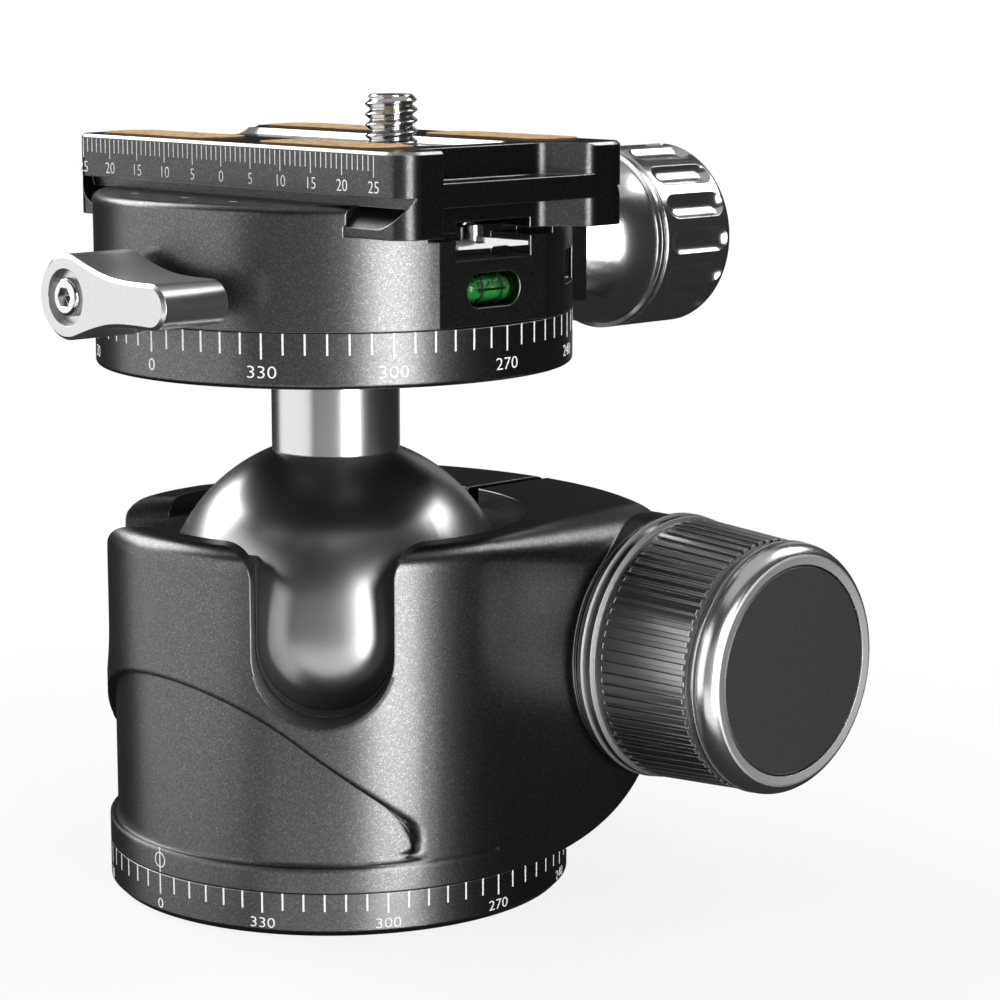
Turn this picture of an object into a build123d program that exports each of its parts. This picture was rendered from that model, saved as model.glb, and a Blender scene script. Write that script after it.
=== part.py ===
"""Tripod ball head with a pinch-clamped ball, a base pan, a top pan and a quick-release clamp.

Frame: millimetres, +Z up. The origin is the centre of the base's underside. The front of the
head (index mark, lever, plate scale) faces -Y, and the main knob points along +X.
"""

import os
from math import acos, cos, pi, radians, sin, sqrt

from build123d import *

os.makedirs("parts", exist_ok=True)

# ---------------------------------------------------------------- fits
fit = 0.05  # radial clearance of anything that turns or slides in a bore
seam = 0.1  # visible gap between a pan ring and the part that turns on it

# ---------------------------------------------------------------- base and housing
body_radius = 29.0  # base ring and the front of the housing
base_height = 5.3
housing_top = 46.4
floor_top = 11.4  # top of the housing's floor flange
hub_radius = 13.0  # pivot hub of the base pan
bush_radius = 7.5
tripod_thread_radius = 4.76  # 3/8 inch - 16

ball_radius = 22.0
ball_height = 33.9  # centre of the ball
bore_radius = 23.8
cavity_radius = 20.0
cavity_ledge = 13.5  # shelf that the lower seat turns on
liner_bottom = 21.0
liner_top = 44.0

back_arc_radius = 49.0
back_arc_y = -10.3
corner_radius = 6.0
belly_radius = 17.0
belly_r = 23.3
belly_z = 21.2

slot_half_width = 8.4
slot_angles = (-45, -135)
slot_flare = 3.5
slit_half_width = 1.0
slit_bottom = 9.5

knob_y = 29.0  # axis of the main knob and its screw
knob_z = 29.45
boss_radius = 16.2
boss_start = 14.0
boss_end = 29.4
screw_radius = 4.0  # M8
nut_across_flats = 13.0
nut_length = 6.5
nut_outer_x = -27.0
nut_boss_radius = 10.5

panel_depth = 1.0
panel_top = 29.85
panel_apex_radius = 33.0
panel_slope = 36.0  # fall of each flank, in degrees, measured round the wall
panel_tip_radius = 3.1
panel_bottom = 8.4
panel_points = 5  # outline points on each side's arcs

pan_lock_angle = 150
pan_lock_z = 8.4
pan_lock_screw_radius = 2.0
pan_lock_seat_r = 33.3
pan_lock_face_radius = 7.6  # spot face round its knob

# ---------------------------------------------------------------- stem and top pan
stem_radius = 8.0
stem_top = 65.6
shank_radius = 5.0
shank_length = 14.4
spigot_radius = 6.0
spigot_height = 4.1
ring_radius = 29.5
ring_height = 6.5
top_hub_radius = 10.0
top_hub_height = 6.4  # above the ring
retainer_radius = 13.0
retainer_thickness = 1.8
bolt_radius = 3.0
bolt_reach = 6.0  # how far the bolt's hole goes down into the stem
ring_edge = 0.6

# ---------------------------------------------------------------- plate
plate_x0 = -28.3
plate_x1 = 32.6
plate_half = 18.6
plate_height = 9.88
plate_gap = 0.02
groove_rise = 4.68  # top of the jaw grooves, above the plate's underside
lip_rise = 1.11
neck_depth = 2.3  # how far the grooves go in from the plate's sides
groove_x0 = -22.9
groove_x1 = 27.9
runout_radius = 4.7
channel_half = 6.0
channel_rise = 1.23
slot_x0 = -2.0
slot_x1 = 23.0
slot_width = 7.2
pad_thickness = 0.65
pad_recess = 0.4
camera_x = 10.6
camera_radius = 3.175  # 1/4 inch - 20
camera_proud = 5.4

# ---------------------------------------------------------------- clamp
clamp_height = 11.0
clamp_back = 2.4  # the body's back face, beyond the plate's side
facet_x = 28.2
jaw_rise = 3.5
fixed_jaw_half = 23.0
movable_jaw_half = 20.0
jaw_side_gap = 0.05  # jaw to the plate's side
jaw_hook_gap = 0.3  # hook to the bottom of the groove
jaw_lip_gap = 0.02
jaw_foot = 0.4  # jaw's underside above the body's
jaw_travel_gap = 0.5  # jaw to the body's back face
jaw_depth = 6.0
clamp_screw_rise = 5.6
clamp_screw_radius = 3.0
guide_pin_radius = 1.5
guide_pin_x = 12.0
vial_radius = 2.0
vial_rise = 4.1
vial_length = 8.6
notch_half = 6.1
notch_rise = 7.7
notch_x = 21.5
step_y0 = -10.0  # the body's top is lower round the catch
step_y1 = 10.4
step_depth = 0.9
corner_pocket_x = 20.0  # pocket in the body's back corner, beside the catch
corner_pocket_y = 14.5
corner_pocket_low = 3.5
corner_pocket_high = 7.7
pin_x = 24.6
pin_radius = 1.45

lever_rise = 4.05
lever_outer_y = -41.0
lever_inner_y = -31.5
lever_boss_radius = 4.95
lever_reach = 15.5
lever_tip_radius = 2.6
lever_stud_radius = 2.0

grip_radius = 12.1  # clamp knob
grip_flutes = 16

# ---------------------------------------------------------------- small parts
pan_lock_pad_length = 2.0
pan_lock_neck_radius = 3.4
pan_lock_grip_r = 36.0
pan_lock_grip_radius = 6.4
pan_lock_grip_length = 8.0
pan_lock_scallops = 10
pan_lock_scallop_radius = 1.6
pan_lock_stud_end = 42.0
seat_ring_in = 14.5
seat_ring_top = 20.5
liner_slot_half_width = 8.2
knob_start = 30.0
knob_end = 50.7
collar_radius = 16.75
# Turned steps: distance from the step's first edge, depth below the radius.
collar_steps = (
    (0, 0.25),
    (0.25, 0),
    (0.8, 0),
    (1, 0.45),
    (1.3, 0.45),
    (1.45, 0.15),
    (2.2, 0.2),
    (2.4, 0.8),
    (3.5, 0.85),
)
knurl_start = 33.5
knurl_end = 46.2
knurl_radius = 16.35
knurl_end_radius = 15.5
knurl_count = 70
knurl_depth = 0.5
knurl_groove = 0.76
knurl_floor = 0.62
rim_radius = 15.7
rim_steps = ((0, 0.95), (0.3, 0.95), (1.6, 0.1), (1.8, 0.15), (1.85, 0.6), (2.2, 0.6), (2.25, 0.2))
rim_crown = (3.8, 0.55)
knob_face_x = 50.9
knob_face_radius = 14.0
washer_radius = 12.0
cap_radius = 12.87
cap_thickness = 1.2
screw_end_x = 46.0
top_screw_r = 7.8
top_screw_length = 6.0
top_screw_radius = 1.25
bolt_head_radius = 5.0
bolt_head_height = 3.0
bolt_head_sink = 0.4
bolt_socket = 2.0
jaw_edge_round = 1.2
vial_wall = 0.3
brake_pad_length = 3.0
leaf_rise = 9.0
leaf_thickness = 0.5
pin_rise = 11.8
lever_chamfer = 0.4
lever_flank = 72
lever_waist_x = 7.6
lever_waist = 2.95
lever_neck_radius = 3.6
lever_recess_radius = 3.3
lever_recess = 1.0
lever_stud_end = 37.0
lever_screw_radius = 1.25
lever_screw_head_radius = 2.26
lever_screw_head_height = 1.2
lever_screw_reach = 7.0
lever_screw_socket = 1.05
jaw_bow_radius = 62.3
guide_pin_press = 5.0
guide_pin_inside = 11.0  # how far the pins reach in from the clamp's back face
guide_pin_room = 1.0
# Places along the clamp knob's axis count from the jaw's outer face.
grip_foot = (3.0, 5.4)  # place and radius
grip_neck_start = 3.4
grip_neck_end = 7.1
grip_neck_radius = 4.6
grip_bell = ((8.7, 7.4), (13.0, 9.9))
grip_lip_start = 19.1
grip_lip_steps = ((0, 0.6), (0.2, 0), (0.7, 0), (0.85, 0.35), (1.05, 0.35), (1.15, 0.1))
grip_band_start = 20.5
grip_band_end = 32.3
grip_end = 33.5
grip_face_sink = 0.8
grip_face_radius = 8.6
grip_flute_radius = 2.6
grip_flute_depth = 0.75
grip_flute_start = 23.1
grip_flute_end = 30.4
clamp_screw_inside = 7.2  # how far the screw reaches in from the clamp's back face
clamp_screw_room = 1.8
clamp_screw_end = 22.5
plate_corner = 3.0
plate_edge = 0.35
pocket_rise = 5.88
head_pocket_radius = 7.3
end_rib_low = 3.38
end_rib_high = 6.18
end_pocket_depth = 4.4
end_pocket_y0 = -12.2
end_pocket_y1 = 7.5
end_pocket_round = 2.0
pad_length = 22.0
pad_width = 7.9
pad_corner = 3.2
pad_x = 15.1
pad_inset = 5.2  # pad's middle line to the plate's side
pad_middle = 0.6
top_recess_length = 49.5
top_recess_half = 7.2
top_recess_depth = 0.8
top_recess_corner = 3.0
slot_bevel = 0.45
pad_places = tuple(
    (pad_middle + side * pad_x, row * (plate_half - pad_inset)) for side in (-1, 1) for row in (-1, 1)
)
camera_head_radius = 6.8
camera_shank_radius = 2.6
washer_thickness = 0.8
camera_slot_width = 1.6
camera_slot_depth = 1.2

# ---------------------------------------------------------------- worked-out levels
housing_bottom = base_height + seam
ring_top = stem_top + ring_height
clamp_bottom = ring_top + seam
seat_z = clamp_bottom + clamp_height
top_hub_top = ring_top + top_hub_height
plate_bottom = seat_z + plate_gap
plate_top = plate_bottom + plate_height
groove_top = plate_bottom + groove_rise
lip_top = plate_bottom + lip_rise
channel_roof = plate_bottom + channel_rise
pocket_roof = plate_bottom + pocket_rise
neck_y = plate_half - neck_depth
clamp_back_y = plate_half + clamp_back
jaw_lip_y = plate_half + jaw_side_gap
jaw_hook_y = neck_y + jaw_hook_gap
jaw_inner_y = clamp_back_y + jaw_travel_gap
jaw_outer_y = jaw_inner_y + jaw_depth
jaw_bottom = clamp_bottom + jaw_foot
clamp_screw_z = clamp_bottom + clamp_screw_rise
vial_z = clamp_bottom + vial_rise
notch_floor = clamp_bottom + notch_rise
lever_z = clamp_bottom + lever_rise
leaf_z = clamp_bottom + leaf_rise
pin_top = clamp_bottom + pin_rise
ball_flat_z = ball_height + sqrt(ball_radius**2 - stem_radius**2)
knob_axis = Plane(origin=(0, knob_y, knob_z), x_dir=(0, 1, 0), z_dir=(1, 0, 0))
front_plane = Plane(origin=(0, 0, 0), x_dir=(1, 0, 0), z_dir=(0, -1, 0))
back_plane = Plane(origin=(0, 0, 0), x_dir=(-1, 0, 0), z_dir=(0, 1, 0))
side_plane = Plane(origin=(0, 0, 0), x_dir=(0, 1, 0), z_dir=(1, 0, 0))


def save(part, name):
    """Label a finished piece and write it to its own file."""
    part.label = name
    export_step(part, f"parts/{name}.step")


# ================================================================ base pan
retainer_outer = 18.0
retainer_inner = 8.5
retainer_low = floor_top + seam
retainer_high = 13.2
bearing_in = 15.0
bearing_out = 26.0
bearing_thickness = 0.6
base_screw_r = 10.8
base_screw_length = 7.0
base_screw_radius = 1.5
base_edge = 0.8
relief_out = 24.0
relief_in = 12.0
relief_depth = 0.6

with BuildPart() as pan_base:
    Cylinder(body_radius, base_height, align=(Align.CENTER, Align.CENTER, Align.MIN))
    chamfer(pan_base.edges().filter_by(GeomType.CIRCLE).sort_by(Axis.Z)[0], base_edge)
    with Locations((0, 0, base_height)):
        Cylinder(hub_radius, retainer_low - base_height, align=(Align.CENTER, Align.CENTER, Align.MIN))
    # Seat of the bearing washer, on top.
    with BuildSketch(Plane.XY.offset(base_height)):
        Circle(bearing_out)
        Circle(bearing_in, mode=Mode.SUBTRACT)
    extrude(amount=seam - bearing_thickness, mode=Mode.SUBTRACT)
    # Relief ring in the underside leaves an outer and an inner contact face.
    with BuildSketch(Plane.XY):
        Circle(relief_out)
        Circle(relief_in, mode=Mode.SUBTRACT)
    extrude(amount=relief_depth, mode=Mode.SUBTRACT)
    Cylinder(bush_radius, retainer_low, align=(Align.CENTER, Align.CENTER, Align.MIN), mode=Mode.SUBTRACT)
    with Locations((0, 0, retainer_low)):
        with PolarLocations(base_screw_r, 3):
            Hole(base_screw_radius, depth=base_screw_length - 1)
save(pan_base.part, "pan_base")

with BuildPart() as tripod_bush:
    Cylinder(bush_radius, retainer_low, align=(Align.CENTER, Align.CENTER, Align.MIN))
    Hole(tripod_thread_radius)
save(tripod_bush.part, "tripod_bush")

with BuildPart() as pan_bearing:
    with BuildSketch(Plane.XY.offset(housing_bottom - bearing_thickness)):
        Circle(bearing_out - fit)
        Circle(bearing_in + fit, mode=Mode.SUBTRACT)
    extrude(amount=bearing_thickness)
save(pan_bearing.part, "pan_bearing")

with BuildPart() as pan_retainer:
    with BuildSketch(Plane.XY.offset(retainer_low)):
        Circle(retainer_outer)
        Circle(retainer_inner, mode=Mode.SUBTRACT)
    extrude(amount=retainer_high - retainer_low)
    with Locations((0, 0, retainer_high)):
        with PolarLocations(base_screw_r, 3):
            CounterSinkHole(base_screw_radius + 0.1, base_screw_radius + 0.7)
save(pan_retainer.part, "pan_retainer")

with BuildPart() as pan_retainer_screws:
    with Locations((0, 0, retainer_high - 0.1)):
        with PolarLocations(base_screw_r, 3):
            Cylinder(base_screw_radius, base_screw_length, align=(Align.CENTER, Align.CENTER, Align.MAX))
            Cone(
                base_screw_radius,
                base_screw_radius + 0.6,
                0.6,
                align=(Align.CENTER, Align.CENTER, Align.MAX),
            )
save(pan_retainer_screws.part, "pan_retainer_screws")


# ================================================================ housing
def slot_profile(half_width, flare):
    """A drop slot seen along its own direction: a U with flared shoulders."""
    top = housing_top
    with BuildSketch() as profile:
        with BuildLine():
            CenterArc((0, ball_height), half_width, 180, 180)
            Line((half_width, ball_height), (half_width, top - flare))
            CenterArc((half_width + flare, top - flare), flare, 90, 90)
            Polyline(
                (half_width + flare, top),
                (half_width + flare, top + 5),
                (-half_width - flare, top + 5),
                (-half_width - flare, top),
            )
            CenterArc((-half_width - flare, top - flare), flare, 0, 90)
            Line((-half_width, top - flare), (-half_width, ball_height))
        make_face()
    return profile.sketch


def slot_plane(angle):
    """Plane through the pan axis that faces along a drop slot."""
    return Plane(
        origin=(0, 0, 0),
        x_dir=(-sin(radians(angle)), cos(radians(angle)), 0),
        z_dir=(cos(radians(angle)), sin(radians(angle)), 0),
    )


pan_lock_plane = Plane(
    origin=(0, 0, pan_lock_z),
    x_dir=(-sin(radians(pan_lock_angle)), cos(radians(pan_lock_angle)), 0),
    z_dir=(cos(radians(pan_lock_angle)), sin(radians(pan_lock_angle)), 0),
)

slot_shape = slot_profile(slot_half_width, slot_flare)
liner_slot_shape = slot_profile(liner_slot_half_width, slot_flare)
edge_round = 2.5
side_round_front = 2.5
side_round_back = 9.8
side_round_end_y = 45.0

# The rounding of the side walls' top edges grows towards the back.
with BuildPart() as side_rounding:
    for y, radius in ((0.0, side_round_front), (side_round_end_y, side_round_back)):
        with BuildSketch(Plane.XZ.offset(-y)):
            with BuildLine():
                CenterArc((body_radius - radius, housing_top - radius), radius, 0, 90)
                Polyline(
                    (body_radius - radius, housing_top),
                    (body_radius - radius, housing_top + 2),
                    (body_radius + 2, housing_top + 2),
                    (body_radius + 2, housing_top - radius),
                    (body_radius, housing_top - radius),
                )
            make_face()
    loft(ruled=True)
    mirror(about=Plane.YZ)

# Shallow panel sunk into the front wall: a triangle with a round apex and two round tips. Its
# outline is laid out along the wall's arc, then seen from the front.
def from_front(arc, z):
    """A point of the wall, given its distance round the wall, as the front view shows it."""
    return (body_radius * sin(arc / body_radius), z)


panel_fall = radians(panel_slope)
apex_centre_z = panel_top - panel_apex_radius
tip_centre_z = panel_bottom + panel_tip_radius
tip_arc = (
    panel_apex_radius - panel_tip_radius - (tip_centre_z - apex_centre_z) * cos(panel_fall)
) / sin(panel_fall)
flank_top = (panel_apex_radius * sin(panel_fall), apex_centre_z + panel_apex_radius * cos(panel_fall))
flank_end = (
    tip_arc + panel_tip_radius * sin(panel_fall),
    tip_centre_z + panel_tip_radius * cos(panel_fall),
)
panel_right = []
for share in range(1, panel_points):
    turn = panel_fall * share / panel_points
    panel_right.append(
        from_front(panel_apex_radius * sin(turn), apex_centre_z + panel_apex_radius * cos(turn))
    )
for share in range(2 * panel_points):
    along = share / (2 * panel_points)
    panel_right.append(
        from_front(
            flank_top[0] + along * (flank_end[0] - flank_top[0]),
            flank_top[1] + along * (flank_end[1] - flank_top[1]),
        )
    )
for share in range(2 * panel_points + 1):
    turn = panel_fall + (pi - panel_fall) * share / (2 * panel_points)
    panel_right.append(
        from_front(tip_arc + panel_tip_radius * sin(turn), tip_centre_z + panel_tip_radius * cos(turn))
    )
panel_left = [(-x, z) for x, z in reversed(panel_right)]
with BuildPart() as panel_cut:
    with BuildSketch(Plane.XZ):
        with BuildLine():
            Spline(*panel_left, (0, panel_top), *panel_right, tangents=((-1, 0), (-1, 0)))
            Line(panel_right[-1], panel_left[0])
        make_face()
    extrude(amount=40)
    Cylinder(body_radius - panel_depth, 100, mode=Mode.SUBTRACT)

with BuildPart() as housing:
    # Round front, straight sides and an arched back.
    with BuildSketch(Plane.XY.offset(housing_bottom)):
        Rectangle(2 * body_radius, 60, align=(Align.CENTER, Align.MIN))
        with Locations((0, back_arc_y)):
            Circle(back_arc_radius, mode=Mode.INTERSECT)
    extrude(amount=housing_top - housing_bottom)
    fillet(housing.edges().filter_by(Axis.Z).group_by(Axis.Y)[-1], corner_radius)
    with BuildSketch(Plane.XY.offset(housing_bottom)):
        Circle(body_radius)
    extrude(amount=housing_top - housing_bottom)
    fillet(housing.faces().sort_by(Axis.Z)[-1].outer_wire().edges(), edge_round)
    # The lug's belly curves in towards the base ring.
    with BuildSketch(Plane.XZ):
        with BuildLine():
            low_x = belly_r + sqrt(belly_radius**2 - (belly_z - housing_bottom) ** 2)
            Line((0, housing_bottom), (low_x, housing_bottom))
            ThreePointArc(
                (low_x, housing_bottom),
                (belly_r + belly_radius * cos(pi / 5), belly_z - belly_radius * sin(pi / 5)),
                (belly_r + belly_radius, belly_z),
            )
            Polyline(
                (belly_r + belly_radius, belly_z),
                (belly_r + belly_radius, housing_top),
                (0, housing_top),
                (0, housing_bottom),
            )
        make_face()
    revolve(axis=Axis.Z, mode=Mode.INTERSECT)
    add(side_rounding.part, mode=Mode.SUBTRACT)
    add(panel_cut.part, mode=Mode.SUBTRACT)
    # Round boss that carries the main knob.
    with BuildSketch(knob_axis.offset(boss_start)):
        Circle(boss_radius)
    extrude(amount=boss_end - boss_start)
    # Smaller boss on the other side, round the nut.
    with BuildSketch(knob_axis.offset(nut_outer_x - 1.5)):
        Circle(nut_boss_radius)
    extrude(amount=nut_length + 6)
    # Inside: floor bore, retainer room, seat room, ball bore.
    for level, radius in (
        (housing_bottom, hub_radius + fit),
        (floor_top, retainer_outer + 0.5),
        (cavity_ledge, cavity_radius),
        (liner_bottom, bore_radius),
    ):
        with Locations((0, 0, level)):
            Cylinder(
                radius, housing_top, align=(Align.CENTER, Align.CENTER, Align.MIN), mode=Mode.SUBTRACT
            )
    # Drop slots for the stem.
    for angle in slot_angles:
        with BuildSketch(slot_plane(angle).offset(12)):
            add(slot_shape)
        extrude(amount=30, mode=Mode.SUBTRACT)
    # Slit that lets the main screw pinch the bore shut.
    with BuildSketch(Plane.XY.offset(slit_bottom)):
        with Locations((0, 19)):
            Rectangle(2 * slit_half_width, 40, align=(Align.CENTER, Align.MIN))
    extrude(amount=housing_top, mode=Mode.SUBTRACT)
    # Main screw hole and its nut pocket.
    with BuildSketch(knob_axis.offset(-40)):
        Circle(screw_radius + fit)
    extrude(amount=80, mode=Mode.SUBTRACT)
    with BuildSketch(knob_axis.offset(nut_outer_x + nut_length)):
        RegularPolygon(nut_across_flats / 2 + fit, 6, major_radius=False)
    extrude(amount=-20, mode=Mode.SUBTRACT)
    # Pan lock: a drilled hole from a spot face down to the hub.
    with BuildSketch(pan_lock_plane.offset(hub_radius - 1)):
        Circle(pan_lock_screw_radius + fit)
    extrude(amount=30, mode=Mode.SUBTRACT)
    with BuildSketch(pan_lock_plane.offset(pan_lock_seat_r)):
        Circle(pan_lock_face_radius)
    extrude(amount=12, mode=Mode.SUBTRACT)
save(housing.part, "housing")

with BuildPart() as ball_liner:
    with BuildSketch(Plane.XZ):
        with BuildLine():
            Polyline(
                (0, liner_bottom),
                (bore_radius - 0.02, liner_bottom),
                (bore_radius - 0.02, liner_top),
                (0, liner_top),
                close=True,
            )
        make_face()
        with Locations((0, ball_height)):
            Circle(ball_radius + fit, mode=Mode.SUBTRACT)
        with Locations((-40, ball_height)):
            Rectangle(80, 80, mode=Mode.SUBTRACT)
    revolve(axis=Axis.Z)
    for angle in slot_angles:
        with BuildSketch(slot_plane(angle).offset(12)):
            add(liner_slot_shape)
        extrude(amount=30, mode=Mode.SUBTRACT)
    with BuildSketch(Plane.XY.offset(liner_bottom)):
        Rectangle(2 * slit_half_width, 40, align=(Align.CENTER, Align.MIN))
    extrude(amount=housing_top, mode=Mode.SUBTRACT)
save(ball_liner.part, "ball_liner")

with BuildPart() as clamp_nut:
    with BuildSketch(knob_axis.offset(nut_outer_x)):
        RegularPolygon(nut_across_flats / 2, 6, major_radius=False)
        Circle(screw_radius + fit, mode=Mode.SUBTRACT)
    extrude(amount=nut_length)
save(clamp_nut.part, "clamp_nut")

with BuildPart() as pan_lock_pad:
    with BuildSketch(pan_lock_plane.offset(hub_radius + fit)):
        Circle(pan_lock_screw_radius + fit)
    extrude(amount=pan_lock_pad_length)
save(pan_lock_pad.part, "pan_lock_pad")

with BuildPart() as pan_lock_stud:
    with BuildSketch(pan_lock_plane.offset(hub_radius + fit + pan_lock_pad_length)):
        Circle(pan_lock_screw_radius)
    extrude(amount=pan_lock_stud_end - hub_radius - fit - pan_lock_pad_length)
save(pan_lock_stud.part, "pan_lock_stud")

with BuildPart() as pan_lock_knob:
    with BuildSketch(pan_lock_plane.offset(pan_lock_seat_r + fit)):
        Circle(pan_lock_neck_radius)
    extrude(amount=pan_lock_grip_r - pan_lock_seat_r - fit)
    with BuildSketch(pan_lock_plane.offset(pan_lock_grip_r)):
        Circle(pan_lock_grip_radius)
        with PolarLocations(pan_lock_grip_radius + 0.9, pan_lock_scallops):
            Circle(pan_lock_scallop_radius, mode=Mode.SUBTRACT)
    extrude(amount=pan_lock_grip_length)
    fillet(pan_lock_knob.faces().sort_by(SortBy.DISTANCE)[-1].edges(), 0.5)
    with BuildSketch(pan_lock_plane.offset(pan_lock_seat_r - 1)):
        Circle(pan_lock_screw_radius)
    extrude(amount=pan_lock_stud_end - pan_lock_seat_r + 1, mode=Mode.SUBTRACT)
save(pan_lock_knob.part, "pan_lock_knob")


# ================================================================ ball
with BuildPart() as lower_seat:
    with BuildSketch(Plane.XZ):
        with Locations(((seat_ring_in + cavity_radius - fit) / 2, (cavity_ledge + seat_ring_top) / 2)):
            Rectangle(cavity_radius - fit - seat_ring_in, seat_ring_top - cavity_ledge)
        with Locations((0, ball_height)):
            Circle(ball_radius + fit, mode=Mode.SUBTRACT)
    revolve(axis=Axis.Z)
save(lower_seat.part, "lower_seat")

with BuildPart() as ball:
    with Locations((0, 0, ball_height)):
        Sphere(ball_radius)
    with Locations((0, 0, ball_flat_z)):
        Cylinder(
            ball_radius, ball_radius, align=(Align.CENTER, Align.CENTER, Align.MIN), mode=Mode.SUBTRACT
        )
        Hole(shank_radius + fit, depth=shank_length + fit)
save(ball.part, "ball")


# ================================================================ main knob
def turned(start, radius, steps):
    """Corners of a turned section, from its steps."""
    return [(start + along, radius - depth) for along, depth in steps]


with BuildPart() as thrust_washer:
    with BuildSketch(knob_axis.offset(boss_end)):
        Circle(washer_radius)
        Circle(screw_radius + fit, mode=Mode.SUBTRACT)
    extrude(amount=knob_start - boss_end)
save(thrust_washer.part, "thrust_washer")

knob_section = Plane(origin=(0, knob_y, knob_z), x_dir=(1, 0, 0), z_dir=(0, -1, 0))
knob_line = Axis((0, knob_y, knob_z), (1, 0, 0))

with BuildPart() as main_knob:
    # Straight knurl: flat lands with narrow slots between them, tapering towards the rim.
    for place, radius in ((knurl_start, knurl_radius), (knurl_end, knurl_end_radius)):
        share = radius / knurl_radius
        with BuildSketch(knob_axis.offset(place)):
            Circle(radius)
            with PolarLocations(radius, knurl_count):
                Polygon(
                    (0.1, -share * knurl_groove / 2),
                    (0.1, share * knurl_groove / 2),
                    (-share * knurl_depth, share * knurl_floor / 2),
                    (-share * knurl_depth, -share * knurl_floor / 2),
                    align=None,
                    mode=Mode.SUBTRACT,
                )
    loft(ruled=True)
    collar = turned(knob_start, collar_radius, collar_steps)
    rim = turned(knurl_end, rim_radius, rim_steps)
    crown = (knurl_end + rim_crown[0], rim_radius - rim_crown[1])
    with BuildSketch(knob_section):
        Polygon((knob_start, 0), *collar, (knurl_start, 0), align=None)
        with BuildLine():
            Polyline((knurl_end, 0), *rim)
            ThreePointArc(rim[-1], crown, (knob_face_x, knob_face_radius))
            Polyline(
                (knob_face_x, knob_face_radius),
                (knob_face_x - 0.15, cap_radius + 0.15),
                (knob_end - cap_thickness, cap_radius),
                (knob_end - cap_thickness, 0),
                (knurl_end, 0),
            )
        make_face()
    revolve(axis=knob_line)
    with BuildSketch(knob_axis.offset(knob_start - 1)):
        Circle(screw_radius)
    extrude(amount=screw_end_x - knob_start + 1, mode=Mode.SUBTRACT)
save(main_knob.part, "main_knob")

with BuildPart() as main_knob_cap:
    with BuildSketch(knob_axis.offset(knob_end - cap_thickness)):
        Circle(cap_radius)
    extrude(amount=cap_thickness)
    chamfer(main_knob_cap.edges().sort_by(Axis.X)[-1], 0.2)
save(main_knob_cap.part, "main_knob_cap")

with BuildPart() as main_screw:
    with BuildSketch(knob_axis.offset(nut_outer_x + 0.5)):
        Circle(screw_radius)
    extrude(amount=screw_end_x - nut_outer_x - 0.5)
    chamfer(main_screw.edges().sort_by(Axis.X)[0], 0.6)
save(main_screw.part, "main_screw")


# ================================================================ stem and top pan
with BuildPart() as stem:
    with BuildSketch(Plane.XZ):
        with BuildLine():
            Polyline(
                (0, ball_flat_z - shank_length),
                (shank_radius, ball_flat_z - shank_length),
                (shank_radius, ball_flat_z + 0.02),
                (stem_radius, ball_flat_z + 0.02),
                (stem_radius, stem_top),
                (spigot_radius, stem_top),
                (spigot_radius, stem_top + spigot_height),
                (bolt_radius, stem_top + spigot_height),
                (bolt_radius, stem_top - bolt_reach),
                (0, stem_top - bolt_reach),
                close=True,
            )
        make_face()
    revolve(axis=Axis.Z)
save(stem.part, "stem")

with BuildPart() as upper_ring:
    with BuildSketch(Plane.XY.offset(stem_top)):
        Circle(ring_radius)
    extrude(amount=ring_height)
    fillet(upper_ring.edges().sort_by(Axis.Z)[0], ring_edge)
    with BuildSketch(Plane.XY.offset(ring_top)):
        Circle(top_hub_radius)
    extrude(amount=top_hub_height)
    with BuildSketch(Plane.XY.offset(ring_top)):
        Circle(bearing_out)
        Circle(bearing_in, mode=Mode.SUBTRACT)
    extrude(amount=seam - bearing_thickness, mode=Mode.SUBTRACT)
    with BuildSketch(Plane.XY.offset(stem_top)):
        Circle(spigot_radius)
    extrude(amount=spigot_height, mode=Mode.SUBTRACT)
    with Locations((0, 0, top_hub_top)):
        CounterBoreHole(bolt_radius, bolt_head_radius + 0.1, bolt_head_height + bolt_head_sink)
        with PolarLocations(top_screw_r, 4):
            Hole(top_screw_radius, depth=top_screw_length - 1)
save(upper_ring.part, "upper_ring")

with BuildPart() as stem_bolt:
    bolt_end = stem_top - bolt_reach + 0.5
    bolt_head_bottom = top_hub_top - bolt_head_sink - bolt_head_height
    with BuildSketch(Plane.XY.offset(bolt_end)):
        Circle(bolt_radius)
    extrude(amount=bolt_head_bottom - bolt_end)
    with BuildSketch(Plane.XY.offset(bolt_head_bottom)):
        Circle(bolt_head_radius)
    extrude(amount=bolt_head_height)
    with BuildSketch(Plane.XY.offset(bolt_head_bottom + bolt_head_height)):
        RegularPolygon(bolt_socket, 6, major_radius=False)
    extrude(amount=-bolt_socket, mode=Mode.SUBTRACT)
save(stem_bolt.part, "stem_bolt")

with BuildPart() as top_bearing:
    with BuildSketch(Plane.XY.offset(clamp_bottom - bearing_thickness)):
        Circle(bearing_out - fit)
        Circle(bearing_in + fit, mode=Mode.SUBTRACT)
    extrude(amount=bearing_thickness)
save(top_bearing.part, "top_bearing")

with BuildPart() as clamp_retainer:
    with BuildSketch(Plane.XY.offset(top_hub_top)):
        Circle(retainer_radius)
    extrude(amount=retainer_thickness)
    with Locations((0, 0, top_hub_top + retainer_thickness)):
        with PolarLocations(top_screw_r, 4):
            CounterSinkHole(top_screw_radius + 0.05, top_screw_radius + 0.85)
save(clamp_retainer.part, "clamp_retainer")

with BuildPart() as clamp_retainer_screws:
    with Locations((0, 0, top_hub_top + retainer_thickness - 0.1)):
        with PolarLocations(top_screw_r, 4):
            Cylinder(top_screw_radius, top_screw_length, align=(Align.CENTER, Align.CENTER, Align.MAX))
            Cone(
                top_screw_radius,
                top_screw_radius + 0.75,
                0.75,
                align=(Align.CENTER, Align.CENTER, Align.MAX),
            )
save(clamp_retainer_screws.part, "clamp_retainer_screws")


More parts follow.
